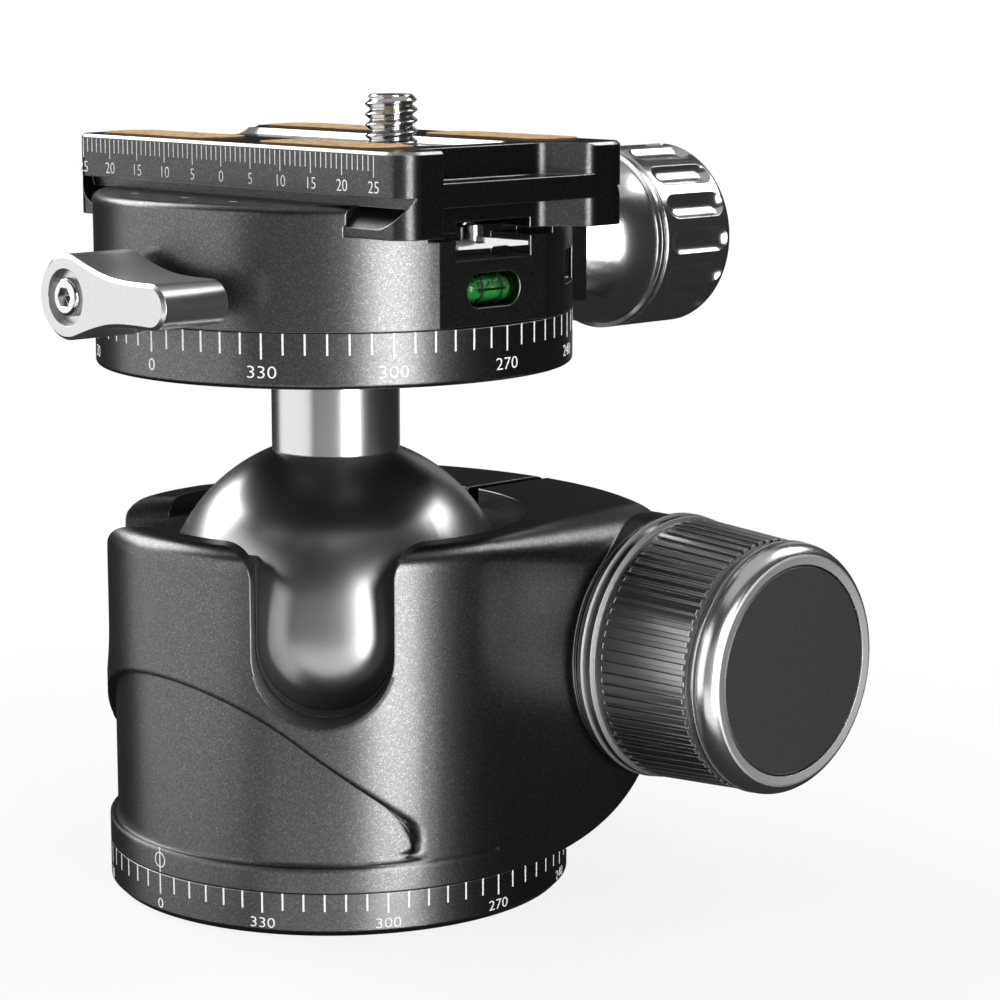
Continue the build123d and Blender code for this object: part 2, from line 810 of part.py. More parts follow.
# ================================================================ clamp
clamp_section = Plane(origin=(0, 0, clamp_screw_z), x_dir=(0, 1, 0), z_dir=(1, 0, 0))
clamp_line = Axis((0, 0, clamp_screw_z), (0, 1, 0))

# The fixed jaw: a segment of the round body that rises beside the plate and hooks over its lip.
with BuildPart() as fixed_jaw:
    with BuildSketch(side_plane.offset(-fixed_jaw_half)):
        Polygon(
            (-ring_radius - 1, seat_z - 1),
            (-jaw_lip_y, seat_z - 1),
            (-jaw_lip_y, lip_top + jaw_lip_gap),
            (-jaw_hook_y, lip_top + jaw_lip_gap + jaw_lip_y - jaw_hook_y),
            (-jaw_hook_y, seat_z + jaw_rise),
            (-ring_radius - 1, seat_z + jaw_rise),
            align=None,
        )
    extrude(amount=2 * fixed_jaw_half)
    with Locations((0, 0, seat_z - 2)):
        Cylinder(
            ring_radius, 10, align=(Align.CENTER, Align.CENTER, Align.MIN), mode=Mode.INTERSECT
        )
    fillet(
        fixed_jaw.edges().filter_by(GeomType.CIRCLE).sort_by(Axis.Z)[-1], jaw_edge_round
    )

with BuildPart() as clamp_body:
    with BuildSketch(Plane.XY.offset(clamp_bottom)):
        Circle(ring_radius)
        with Locations((facet_x, 0)):
            Rectangle(10, 80, align=(Align.MIN, Align.CENTER), mode=Mode.SUBTRACT)
        with Locations((0, clamp_back_y)):
            Rectangle(80, 20, align=(Align.CENTER, Align.MIN), mode=Mode.SUBTRACT)
    extrude(amount=clamp_height)
    add(fixed_jaw.part)
    with BuildSketch(Plane.XY.offset(clamp_bottom)):
        Circle(top_hub_radius + fit)
    extrude(amount=clamp_height, mode=Mode.SUBTRACT)
    with BuildSketch(Plane.XY.offset(top_hub_top - seam)):
        Circle(retainer_radius + 0.3)
    extrude(amount=clamp_height, mode=Mode.SUBTRACT)
    # Holes of the clamp screw and its two guide pins.
    with BuildSketch(back_plane.offset(clamp_back_y)):
        with Locations((0, clamp_screw_z)):
            Circle(clamp_screw_radius + fit)
    extrude(amount=-clamp_screw_inside - clamp_screw_room, mode=Mode.SUBTRACT)
    with BuildSketch(back_plane.offset(clamp_back_y)):
        with Locations((guide_pin_x, clamp_screw_z), (-guide_pin_x, clamp_screw_z)):
            Circle(guide_pin_radius + fit)
    extrude(amount=-guide_pin_inside - guide_pin_room, mode=Mode.SUBTRACT)
    # Hole of the pan lock stud, into the hub bore.
    with BuildSketch(front_plane.offset(8)):
        with Locations((0, lever_z)):
            Circle(lever_stud_radius + fit)
    extrude(amount=25, mode=Mode.SUBTRACT)
    # Window of the level vial, and the notch of the safety catch above it.
    with BuildSketch(side_plane.offset(facet_x - 2 * vial_radius - 0.1)):
        with Locations((0, vial_z)):
            SlotOverall(vial_length + 0.1, 2 * vial_radius + 0.1)
    extrude(amount=6, mode=Mode.SUBTRACT)
    with Locations((notch_x, 0, notch_floor)):
        Box(
            10, 2 * notch_half, 10, align=(Align.MIN, Align.CENTER, Align.MIN), mode=Mode.SUBTRACT
        )
    with Locations((notch_x, (step_y0 + step_y1) / 2, seat_z - step_depth)):
        Box(
            10, step_y1 - step_y0, 10, align=(Align.MIN, Align.CENTER, Align.MIN), mode=Mode.SUBTRACT
        )
    with Locations((corner_pocket_x, corner_pocket_y, clamp_bottom + corner_pocket_low)):
        Box(
            10,
            10,
            corner_pocket_high - corner_pocket_low,
            align=(Align.MIN, Align.MIN, Align.MIN),
            mode=Mode.SUBTRACT,
        )
save(clamp_body.part, "clamp_body")

vial_section = Plane(origin=(facet_x - vial_radius - 0.1, 0, vial_z), x_dir=(0, 1, 0), z_dir=(1, 0, 0))
vial_line = Axis(vial_section.origin, (0, 1, 0))

with BuildPart() as level_vial:
    with BuildSketch(vial_section):
        SlotOverall(vial_length, 2 * vial_radius)
        SlotOverall(vial_length - 2 * vial_wall, 2 * (vial_radius - vial_wall), mode=Mode.SUBTRACT)
        Rectangle(20, 20, align=(Align.CENTER, Align.MAX), mode=Mode.SUBTRACT)
    revolve(axis=vial_line)
save(level_vial.part, "level_vial")

with BuildPart() as vial_fluid:
    with BuildSketch(vial_section):
        SlotOverall(vial_length - 2 * vial_wall, 2 * (vial_radius - vial_wall))
        Rectangle(20, 20, align=(Align.CENTER, Align.MAX), mode=Mode.SUBTRACT)
    revolve(axis=vial_line)
save(vial_fluid.part, "vial_fluid")

with BuildPart() as brake_pad:
    with BuildSketch(front_plane.offset(top_hub_radius + 2 * fit)):
        with Locations((0, lever_z)):
            Circle(lever_stud_radius + fit)
    extrude(amount=brake_pad_length)
save(brake_pad.part, "brake_pad")

with BuildPart() as safety_pin:
    with BuildSketch(Plane.XY.offset(leaf_z + leaf_thickness)):
        with Locations((pin_x, 0)):
            Circle(pin_radius)
    extrude(amount=pin_top - leaf_z - leaf_thickness)
    chamfer(safety_pin.edges().sort_by(Axis.Z)[-1], 0.3)
save(safety_pin.part, "safety_pin")

with BuildPart() as catch_leaf:
    with BuildSketch(Plane.XY.offset(leaf_z)):
        with Locations((notch_x + 0.1, 0)):
            Rectangle(
                facet_x - notch_x - 0.4, 2 * notch_half - 0.1, align=(Align.MIN, Align.CENTER)
            )
    extrude(amount=leaf_thickness)
save(catch_leaf.part, "catch_leaf")


# ================================================================ lever
with BuildPart() as lever:
    with BuildSketch(front_plane.offset(-lever_inner_y)):
        with BuildLine():
            flank = radians(lever_flank)
            flank_x = lever_boss_radius * cos(flank)
            flank_z = lever_boss_radius * sin(flank)
            Spline(
                (flank_x, lever_z + flank_z),
                (lever_waist_x, lever_z + lever_waist),
                (lever_reach, lever_z + lever_tip_radius),
                tangents=((sin(flank), -cos(flank)), (1, 0)),
            )
            ThreePointArc(
                (lever_reach, lever_z + lever_tip_radius),
                (lever_reach + lever_tip_radius, lever_z),
                (lever_reach, lever_z - lever_tip_radius),
            )
            Spline(
                (lever_reach, lever_z - lever_tip_radius),
                (lever_waist_x, lever_z - lever_waist),
                (flank_x, lever_z - flank_z),
                tangents=((-1, 0), (-sin(flank), -cos(flank))),
            )
            ThreePointArc(
                (flank_x, lever_z - flank_z),
                (-lever_boss_radius, lever_z),
                (flank_x, lever_z + flank_z),
            )
        make_face()
    extrude(amount=lever_inner_y - lever_outer_y)
    chamfer(lever.faces().sort_by(Axis.Y)[0].edges(), lever_chamfer)
    chamfer(lever.faces().sort_by(Axis.Y)[-1].edges(), lever_chamfer)
    with BuildSketch(front_plane.offset(ring_radius + 0.25)):
        with Locations((0, lever_z)):
            Circle(lever_neck_radius)
    extrude(amount=-lever_inner_y - ring_radius + 1)
    with BuildSketch(front_plane.offset(ring_radius - 2)):
        with Locations((0, lever_z)):
            Circle(lever_stud_radius)
    extrude(amount=lever_stud_end - ring_radius + 2, mode=Mode.SUBTRACT)
    with BuildSketch(front_plane.offset(lever_stud_end)):
        with Locations((0, lever_z)):
            Circle(lever_screw_radius + fit)
    extrude(amount=-lever_outer_y - lever_stud_end, mode=Mode.SUBTRACT)
    with BuildSketch(front_plane.offset(-lever_outer_y - lever_recess)):
        with Locations((0, lever_z)):
            Circle(lever_recess_radius)
    extrude(amount=lever_recess, mode=Mode.SUBTRACT)
save(lever.part, "lever")

with BuildPart() as lever_stud:
    with BuildSketch(front_plane.offset(top_hub_radius + 2 * fit + brake_pad_length)):
        with Locations((0, lever_z)):
            Circle(lever_stud_radius)
    extrude(amount=lever_stud_end - top_hub_radius - 2 * fit - brake_pad_length)
    with BuildSketch(front_plane.offset(lever_stud_end)):
        with Locations((0, lever_z)):
            Circle(lever_screw_radius)
    extrude(amount=-lever_screw_reach - 1, mode=Mode.SUBTRACT)
save(lever_stud.part, "lever_stud")

with BuildPart() as lever_screw:
    with BuildSketch(front_plane.offset(lever_stud_end - lever_screw_reach)):
        with Locations((0, lever_z)):
            Circle(lever_screw_radius)
    extrude(amount=-lever_outer_y - lever_recess - lever_stud_end + lever_screw_reach)
    with BuildSketch(front_plane.offset(-lever_outer_y - lever_recess)):
        with Locations((0, lever_z)):
            Circle(lever_screw_head_radius)
    extrude(amount=lever_screw_head_height)
    fillet(lever_screw.edges().filter_by(GeomType.CIRCLE).sort_by(Axis.Y)[0], 0.6)
    with BuildSketch(front_plane.offset(-lever_outer_y - lever_recess + lever_screw_head_height)):
        with Locations((0, lever_z)):
            RegularPolygon(lever_screw_socket, 6, major_radius=False)
    extrude(amount=-lever_screw_socket, mode=Mode.SUBTRACT)
save(lever_screw.part, "lever_screw")


# ================================================================ movable jaw and its knob
with BuildPart() as movable_jaw:
    with BuildSketch(side_plane.offset(-movable_jaw_half)):
        Polygon(
            (jaw_outer_y + 1, jaw_bottom),
            (jaw_outer_y + 1, seat_z + jaw_rise),
            (jaw_hook_y, seat_z + jaw_rise),
            (jaw_hook_y, lip_top + jaw_lip_gap + jaw_lip_y - jaw_hook_y),
            (jaw_lip_y, lip_top + jaw_lip_gap),
            (jaw_lip_y, seat_z + fit),
            (jaw_inner_y, seat_z + fit),
            (jaw_inner_y, jaw_bottom),
            align=None,
        )
    extrude(amount=2 * movable_jaw_half)
    # The outer face is gently bowed.
    with Locations((0, jaw_outer_y - jaw_bow_radius, jaw_bottom - 1)):
        Cylinder(
            jaw_bow_radius, 20, align=(Align.CENTER, Align.CENTER, Align.MIN), mode=Mode.INTERSECT
        )
    fillet(movable_jaw.edges().filter_by(GeomType.CIRCLE).sort_by(Axis.Z)[-1], jaw_edge_round)
    with BuildSketch(back_plane.offset(jaw_inner_y - 1)):
        with Locations((0, clamp_screw_z)):
            Circle(clamp_screw_radius + fit)
    extrude(amount=10, mode=Mode.SUBTRACT)
    with BuildSketch(back_plane.offset(jaw_inner_y - 1)):
        with Locations((guide_pin_x, clamp_screw_z), (-guide_pin_x, clamp_screw_z)):
            Circle(guide_pin_radius)
    extrude(amount=guide_pin_press + 1, mode=Mode.SUBTRACT)
save(movable_jaw.part, "movable_jaw")

with BuildPart() as jaw_guide_pins:
    with BuildSketch(back_plane.offset(clamp_back_y - guide_pin_inside)):
        with Locations((guide_pin_x, clamp_screw_z), (-guide_pin_x, clamp_screw_z)):
            Circle(guide_pin_radius)
    extrude(amount=jaw_inner_y + guide_pin_press - clamp_back_y + guide_pin_inside)
save(jaw_guide_pins.part, "jaw_guide_pins")

# Ball-nosed cutter of the grip's flutes.
flute_length = grip_flute_end - grip_flute_start + 2 * grip_flute_radius
flute_r = grip_radius + grip_flute_radius - grip_flute_depth
flute_place = (jaw_outer_y + (grip_flute_start + grip_flute_end) / 2, flute_r)
flute_line = Axis((0, 0, clamp_screw_z + flute_r), (0, 1, 0))
with BuildPart() as grip_flute:
    with BuildSketch(clamp_section):
        with Locations(flute_place):
            SlotOverall(flute_length, 2 * grip_flute_radius)
            Rectangle(
                flute_length,
                grip_flute_radius,
                align=(Align.CENTER, Align.MAX),
                mode=Mode.INTERSECT,
            )
    revolve(axis=flute_line)

with BuildPart() as clamp_knob:
    lip = turned(jaw_outer_y + grip_lip_start, grip_radius, grip_lip_steps)
    bell = turned(jaw_outer_y, 0, [(place, -radius) for place, radius in grip_bell])
    with BuildSketch(clamp_section):
        with BuildLine():
            Polyline(
                (jaw_outer_y + grip_band_start, 0),
                (jaw_outer_y + fit, 0),
                (jaw_outer_y + fit, grip_foot[1]),
                (jaw_outer_y + grip_foot[0], grip_foot[1]),
                (jaw_outer_y + grip_neck_start, grip_neck_radius),
                (jaw_outer_y + grip_neck_end, grip_neck_radius),
            )
            Spline(
                (jaw_outer_y + grip_neck_end, grip_neck_radius),
                *bell,
                lip[0],
                tangents=((0, 1), (1, 0.12)),
            )
            Polyline(
                *lip,
                (jaw_outer_y + grip_band_start, grip_radius - 0.1),
                (jaw_outer_y + grip_band_start, 0),
            )
        make_face()
    revolve(axis=clamp_line)
    with BuildSketch(back_plane.offset(jaw_outer_y + grip_band_start)):
        with Locations((0, clamp_screw_z)):
            Circle(grip_radius)
    extrude(amount=grip_band_end - grip_band_start)
    with BuildSketch(clamp_section):
        with BuildLine():
            rim_start = jaw_outer_y + grip_band_end
            rim_end = jaw_outer_y + grip_end
            Polyline((rim_start, 0), (rim_start, grip_radius - 0.1))
            ThreePointArc(
                (rim_start, grip_radius - 0.1),
                (rim_end - 0.4, grip_radius - 0.4),
                (rim_end, grip_radius - 1.4),
            )
            Polyline(
                (rim_end, grip_radius - 1.4),
                (rim_end, grip_face_radius),
                (rim_end - grip_face_sink, grip_face_radius - 0.4),
                (rim_end - grip_face_sink, 0),
                (rim_start, 0),
            )
        make_face()
    revolve(axis=clamp_line)
    with BuildSketch(back_plane.offset(jaw_outer_y - 1)):
        with Locations((0, clamp_screw_z)):
            Circle(clamp_screw_radius)
    extrude(amount=clamp_screw_end + 1, mode=Mode.SUBTRACT)
    for turn in range(grip_flutes):
        add(grip_flute.part.rotate(clamp_line, turn * 360 / grip_flutes), mode=Mode.SUBTRACT)
save(clamp_knob.part, "clamp_knob")

with BuildPart() as clamp_screw:
    with BuildSketch(back_plane.offset(clamp_back_y - clamp_screw_inside)):
        with Locations((0, clamp_screw_z)):
            Circle(clamp_screw_radius)
    extrude(amount=jaw_outer_y + clamp_screw_end - clamp_back_y + clamp_screw_inside)
    chamfer(clamp_screw.edges().sort_by(Axis.Y)[0], 0.5)
save(clamp_screw.part, "clamp_screw")


# ================================================================ quick-release plate
plate_middle = (plate_x0 + plate_x1) / 2
slot_middle = (slot_x0 + slot_x1) / 2
slot_length = slot_x1 - slot_x0

# The jaw grooves: their section, then their outline seen from the side, with rounded run-outs.
with BuildPart() as groove_cut:
    with BuildSketch(side_plane.offset(plate_x0)):
        Polygon(
            (plate_half + 1, lip_top),
            (plate_half, lip_top),
            (neck_y, lip_top + plate_half - neck_y),
            (neck_y, groove_top),
            (plate_half + 1, groove_top),
            align=None,
        )
        mirror(about=Plane.YZ)
    extrude(amount=plate_x1 - plate_x0)
    with BuildSketch(Plane.XZ):
        with BuildLine():
            rise = groove_top - lip_top
            run = sqrt(runout_radius**2 - (runout_radius - rise) ** 2)
            half_angle = acos(1 - rise / runout_radius) / 2
            Line((groove_x0, lip_top), (groove_x1, lip_top))
            ThreePointArc(
                (groove_x1, lip_top),
                (
                    groove_x1 + runout_radius * sin(half_angle),
                    lip_top + runout_radius * (1 - cos(half_angle)),
                ),
                (groove_x1 + run, groove_top),
            )
            Line((groove_x1 + run, groove_top), (groove_x0 - run, groove_top))
            ThreePointArc(
                (groove_x0 - run, groove_top),
                (
                    groove_x0 - runout_radius * sin(half_angle),
                    lip_top + runout_radius * (1 - cos(half_angle)),
                ),
                (groove_x0, lip_top),
            )
        make_face()
    extrude(amount=30, both=True, mode=Mode.INTERSECT)

with BuildPart() as quick_plate:
    with BuildSketch(Plane.XY.offset(plate_bottom)):
        with Locations((plate_middle, 0)):
            RectangleRounded(plate_x1 - plate_x0, 2 * plate_half, plate_corner)
    extrude(amount=plate_top - plate_bottom)
    chamfer(quick_plate.faces().sort_by(Axis.Z)[-1].edges(), plate_edge)
    add(groove_cut.part, mode=Mode.SUBTRACT)
    # Channel along the underside, and the screw's pocket and slot.
    with BuildSketch(Plane.XY.offset(plate_bottom)):
        with Locations((plate_middle, 0)):
            Rectangle(100, 2 * channel_half)
    extrude(amount=channel_roof - plate_bottom, mode=Mode.SUBTRACT)
    with BuildSketch(Plane.XY.offset(plate_bottom)):
        with Locations((slot_middle, 0)):
            SlotOverall(slot_length - slot_width + 2 * head_pocket_radius, 2 * head_pocket_radius)
    extrude(amount=pocket_roof - plate_bottom, mode=Mode.SUBTRACT)
    with BuildSketch(Plane.XY.offset(pocket_roof)):
        with Locations((slot_middle, 0)):
            SlotOverall(slot_length, slot_width)
    extrude(amount=plate_top - pocket_roof, mode=Mode.SUBTRACT)
    # Shallow bevelled recess round the slot, and the slot's own bevel.
    with BuildSketch(Plane.XY.offset(plate_top)):
        RectangleRounded(top_recess_length, 2 * top_recess_half, top_recess_corner)
    extrude(amount=-top_recess_depth, taper=45, mode=Mode.SUBTRACT)
    with BuildSketch(Plane.XY.offset(plate_top - top_recess_depth)):
        with Locations((slot_middle, 0)):
            SlotOverall(slot_length + 2 * slot_bevel, slot_width + 2 * slot_bevel)
    extrude(amount=-slot_bevel, taper=45, mode=Mode.SUBTRACT)
    # Recesses of the cork pads.
    with BuildSketch(Plane.XY.offset(plate_top)):
        with Locations(*pad_places):
            RectangleRounded(pad_length, pad_width, pad_corner)
    extrude(amount=-pad_recess, mode=Mode.SUBTRACT)
    # End pockets above and below a middle rib, at both ends.
    for sign, end in ((1, plate_x1), (-1, plate_x0)):
        slope_start = (end - sign * end_pocket_depth, end_pocket_y1)
        slope_end = (end, end_pocket_y1 + end_pocket_depth)
        rib_bottom = plate_bottom + end_rib_low
        rib_top = plate_bottom + end_rib_high
        for low, high in ((plate_bottom, rib_bottom), (rib_top, plate_top)):
            with BuildSketch(Plane.XY.offset(low)):
                Polygon(
                    (end - sign * end_pocket_depth, end_pocket_y0),
                    (end + sign * 3, end_pocket_y0),
                    (end + sign * 3, slope_end[1] + 5),
                    (end, slope_end[1] + 2),
                    slope_end,
                    slope_start,
                    align=None,
                )
                bends = [
                    corner
                    for corner in vertices()
                    for x, y in (slope_start, slope_end)
                    if abs(corner.X - x) < 0.01 and abs(corner.Y - y) < 0.01
                ]
                fillet(bends, end_pocket_round)
            extrude(amount=high - low, mode=Mode.SUBTRACT)
save(quick_plate.part, "quick_plate")

with BuildPart() as cork_pads:
    with BuildSketch(Plane.XY.offset(plate_top - pad_recess)):
        with Locations(*pad_places):
            RectangleRounded(pad_length, pad_width, pad_corner)
    extrude(amount=pad_thickness)
save(cork_pads.part, "cork_pads")

with BuildPart() as screw_washer:
    with BuildSketch(Plane.XY.offset(pocket_roof - fit - washer_thickness)):
        with Locations((camera_x, 0)):
            Circle(head_pocket_radius - 0.1)
            Circle(camera_shank_radius + fit, mode=Mode.SUBTRACT)
    extrude(amount=washer_thickness)
save(screw_washer.part, "screw_washer")

with BuildPart() as camera_screw:
    head_top = pocket_roof - 2 * fit - washer_thickness
    with BuildSketch(Plane.XY.offset(channel_roof)):
        with Locations((camera_x, 0)):
            Circle(camera_head_radius)
    extrude(amount=head_top - channel_roof)
    with BuildSketch(Plane.XY.offset(head_top)):
        with Locations((camera_x, 0)):
            Circle(camera_shank_radius)
    extrude(amount=plate_top + 1 - head_top)
    # The thread starts above the plate, so the thinner shank keeps the screw captive.
    with BuildSketch(Plane.XY.offset(plate_top + 0.1)):
        with Locations((camera_x, 0)):
            Circle(camera_radius)
    extrude(amount=camera_proud - 0.1)
    chamfer(camera_screw.edges().sort_by(Axis.Z)[-1], 0.5)
    with BuildSketch(Plane.XY.offset(channel_roof)):
        with Locations((camera_x, 0)):
            Rectangle(2 * camera_head_radius + 1, camera_slot_width)
    extrude(amount=camera_slot_depth, mode=Mode.SUBTRACT)
save(camera_screw.part, "camera_screw")
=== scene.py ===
# %% [markdown]
# # A tripod ball head
# The metal parts of this head come from a CAD frame, already in their true places. This notebook
# gives them their finishes, adds the engraved scales, the screw thread and the level, and lights
# the whole as a small product shoot.

# %% Load the frame
from math import cos, pi, radians, sin

import bmesh
import bpy
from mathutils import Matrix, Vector


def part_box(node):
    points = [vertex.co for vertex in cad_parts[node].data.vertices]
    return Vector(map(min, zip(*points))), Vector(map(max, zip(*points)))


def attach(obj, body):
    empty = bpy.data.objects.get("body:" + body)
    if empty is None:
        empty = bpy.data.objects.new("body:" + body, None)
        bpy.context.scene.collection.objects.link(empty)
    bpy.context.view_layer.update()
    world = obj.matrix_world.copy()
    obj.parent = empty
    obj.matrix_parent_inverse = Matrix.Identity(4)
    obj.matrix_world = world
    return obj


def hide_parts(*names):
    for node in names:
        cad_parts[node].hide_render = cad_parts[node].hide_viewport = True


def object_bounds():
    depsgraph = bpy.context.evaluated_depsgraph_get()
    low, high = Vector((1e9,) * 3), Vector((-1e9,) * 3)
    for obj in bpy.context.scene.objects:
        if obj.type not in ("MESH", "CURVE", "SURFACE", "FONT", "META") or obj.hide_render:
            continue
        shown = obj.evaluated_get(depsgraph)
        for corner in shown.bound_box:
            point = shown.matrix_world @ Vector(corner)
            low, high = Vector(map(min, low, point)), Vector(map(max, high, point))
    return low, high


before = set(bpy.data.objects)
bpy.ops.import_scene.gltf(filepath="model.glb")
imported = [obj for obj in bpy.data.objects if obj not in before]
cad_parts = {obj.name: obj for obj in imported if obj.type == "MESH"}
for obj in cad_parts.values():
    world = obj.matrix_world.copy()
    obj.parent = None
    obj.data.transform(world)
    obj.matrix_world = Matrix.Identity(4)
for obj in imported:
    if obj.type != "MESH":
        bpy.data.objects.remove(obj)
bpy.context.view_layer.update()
mm = 0.001

# %% [markdown]
# ## Small helpers for materials
# Every finish is a node material. A helper that makes a node, sets its inputs and links it keeps
# each recipe short enough to read as a recipe.

# %% Node helpers
def new_node(tree, kind, **settings):
    """Add a node. Settings name its properties, or its inputs with underscores for spaces."""
    node = tree.nodes.new(kind)
    for name, value in settings.items():
        if hasattr(node, name) and name not in node.inputs:
            setattr(node, name, value)
        else:
            node.inputs[name.replace("_", " ")].default_value = value
    return node


def new_finish(name):
    """An empty material with its Principled shader."""
    finish = bpy.data.materials.new(name)
    finish.use_nodes = True
    return finish, finish.node_tree, finish.node_tree.nodes["Principled BSDF"]


def new_group(name, inputs, outputs):
    """An empty shader node group with named sockets."""
    group = bpy.data.node_groups.new(name, "ShaderNodeTree")
    for label, kind, value in inputs:
        socket = group.interface.new_socket(label, in_out="INPUT", socket_type=kind)
        if value is not None:
            socket.default_value = value
    for label, kind in outputs:
        group.interface.new_socket(label, in_out="OUTPUT", socket_type=kind)
    return group, group.nodes.new("NodeGroupInput"), group.nodes.new("NodeGroupOutput")


def use_group(tree, group, **values):
    """Place a node group and set its inputs."""
    node = tree.nodes.new("ShaderNodeGroup")
    node.node_tree = group
    for name, value in values.items():
        node.inputs[name.replace("_", " ")].default_value = value
    return node


print("helpers ready: new_node, new_finish, new_group, use_group")

# %% [markdown]
# ## Grain
# A blasted and anodised surface is covered in tiny dimples. They are far too small to model, so a
# noise in the part's own coordinates gives the height for a Bump node, and a cell pattern gives
# each dimple its own tone. On top of that, the cells above the glint start, about one in seven,
# get painted glints: a lighter colour that stands in for dimples catching the light.

# %% Blasted grain group
FLOAT, VECTOR = "NodeSocketFloat", "NodeSocketVector"
middle_tone = 0.5
painted_glints_start = 0.86

grain, grain_in, grain_out = new_group(
    "Blasted grain",
    [("Size mm", FLOAT, 0.15), ("Variation", FLOAT, 0.2), ("Sparkle", FLOAT, 0.0)],
    [("Height", FLOAT), ("ToneAndGlints", FLOAT)],
)
place = new_node(grain, "ShaderNodeTexCoord")
per_metre = new_node(grain, "ShaderNodeMath", operation="DIVIDE")
per_metre.inputs[0].default_value = 1 / mm
dimples = new_node(grain, "ShaderNodeTexNoise", Detail=2.0, Roughness=0.6)
cells = new_node(grain, "ShaderNodeTexVoronoi", feature="F1")
cell_tone = new_node(grain, "ShaderNodeSeparateColor")
centred = new_node(grain, "ShaderNodeMath", operation="SUBTRACT")
centred.inputs[1].default_value = middle_tone
vary = new_node(grain, "ShaderNodeMath", operation="MULTIPLY_ADD")
vary.inputs[2].default_value = 1.0
# Painted glints: the brightest cells get a lighter colour, standing in for dimples that catch the
# light.
painted_glint_share = new_node(grain, "ShaderNodeMapRange", From_Min=painted_glints_start, From_Max=1.0)
tone_with_painted_glints = new_node(grain, "ShaderNodeMath", operation="MULTIPLY_ADD")
for start, end in (
    (grain_in.outputs["Size mm"], per_metre.inputs[1]),
    (place.outputs["Object"], dimples.inputs["Vector"]),
    (place.outputs["Object"], cells.inputs["Vector"]),
    (per_metre.outputs[0], dimples.inputs["Scale"]),
    (per_metre.outputs[0], cells.inputs["Scale"]),
    (cells.outputs["Color"], cell_tone.inputs[0]),
    (cell_tone.outputs[0], centred.inputs[0]),
    (centred.outputs[0], vary.inputs[0]),
    (grain_in.outputs["Variation"], vary.inputs[1]),
    (cell_tone.outputs[0], painted_glint_share.inputs["Value"]),
    (painted_glint_share.outputs[0], tone_with_painted_glints.inputs[0]),
    (grain_in.outputs["Sparkle"], tone_with_painted_glints.inputs[1]),
    (vary.outputs[0], tone_with_painted_glints.inputs[2]),
    (dimples.outputs[0], grain_out.inputs["Height"]),
    (tone_with_painted_glints.outputs[0], grain_out.inputs["ToneAndGlints"]),
):
    grain.links.new(start, end)
print("group:", grain.name)

# %% [markdown]
# ## Soft edges
# No machined edge is perfectly sharp: a fine break catches the light as a thin bright line. The
# Bevel node rounds the shading there, and comparing it with the true normal gives an edge mask.
# The metals use that mask to paint a paler colour along their edges, a painted highlight.

# %% Soft edge group
edges, edges_in, edges_out = new_group(
    "Soft edge",
    [("Width mm", FLOAT, 0.2), ("Sharpness", FLOAT, 4.0)],
    [("Normal", VECTOR), ("Edge", FLOAT)],
)
to_metre = new_node(edges, "ShaderNodeMath", operation="MULTIPLY")
to_metre.inputs[1].default_value = mm
rounding = new_node(edges, "ShaderNodeBevel", samples=6)
flat = new_node(edges, "ShaderNodeNewGeometry")
likeness = new_node(edges, "ShaderNodeVectorMath", operation="DOT_PRODUCT")
difference = new_node(edges, "ShaderNodeMath", operation="SUBTRACT", use_clamp=True)
difference.inputs[0].default_value = 1.0
sharpen = new_node(edges, "ShaderNodeMath", operation="MULTIPLY", use_clamp=True)
for start, end in (
    (edges_in.outputs["Width mm"], to_metre.inputs[0]),
    (to_metre.outputs[0], rounding.inputs["Radius"]),
    (rounding.outputs["Normal"], likeness.inputs[0]),
    (flat.outputs["Normal"], likeness.inputs[1]),
    (likeness.outputs["Value"], difference.inputs[1]),
    (difference.outputs[0], sharpen.inputs[0]),
    (edges_in.outputs["Sharpness"], sharpen.inputs[1]),
    (rounding.outputs["Normal"], edges_out.inputs["Normal"]),
    (sharpen.outputs[0], edges_out.inputs["Edge"]),
):
    edges.links.new(start, end)
print("group:", edges.name)

# %% [markdown]
# ## Masks that find a region of a part
# Some finishes change across one part: a bevel is cut after the anodising and shows bare metal,
# the sunk panel has softer edges than the rest. These masks look at a point's place, or at the
# way its face points, in the part's own coordinates, so they stay put when the head moves.

# %% Band mask group
band, band_in, band_out = new_group(
    "Band mask",
    [("Low", FLOAT, 0.0), ("High", FLOAT, 1.0), ("Value", FLOAT, 0.0)],
    [("Mask", FLOAT)],
)
above = new_node(band, "ShaderNodeMath", operation="GREATER_THAN")
below = new_node(band, "ShaderNodeMath", operation="LESS_THAN")
both = new_node(band, "ShaderNodeMath", operation="MULTIPLY")
for start, end in (
    (band_in.outputs["Value"], above.inputs[0]),
    (band_in.outputs["Low"], above.inputs[1]),
    (band_in.outputs["Value"], below.inputs[0]),
    (band_in.outputs["High"], below.inputs[1]),
    (above.outputs[0], both.inputs[0]),
    (below.outputs[0], both.inputs[1]),
    (both.outputs[0], band_out.inputs["Mask"]),
):
    band.links.new(start, end)
print("group:", band.name)

# %% [markdown]
# ## Where a point is and where it faces
# The masks need something to measure. One helper reads a point's place and another the way its
# face points, both in the part's own coordinates. A third turns a value and two limits into a
# mask, and a fourth multiplies two masks, which keeps only the points that lie in both.

# %% Place, facing and mask helpers
def place_axis(tree, axis):
    """The x, y or z of a point, in its own part's coordinates."""
    coordinates = new_node(tree, "ShaderNodeTexCoord")
    split = new_node(tree, "ShaderNodeSeparateXYZ")
    tree.links.new(coordinates.outputs["Object"], split.inputs[0])
    return split.outputs[axis]


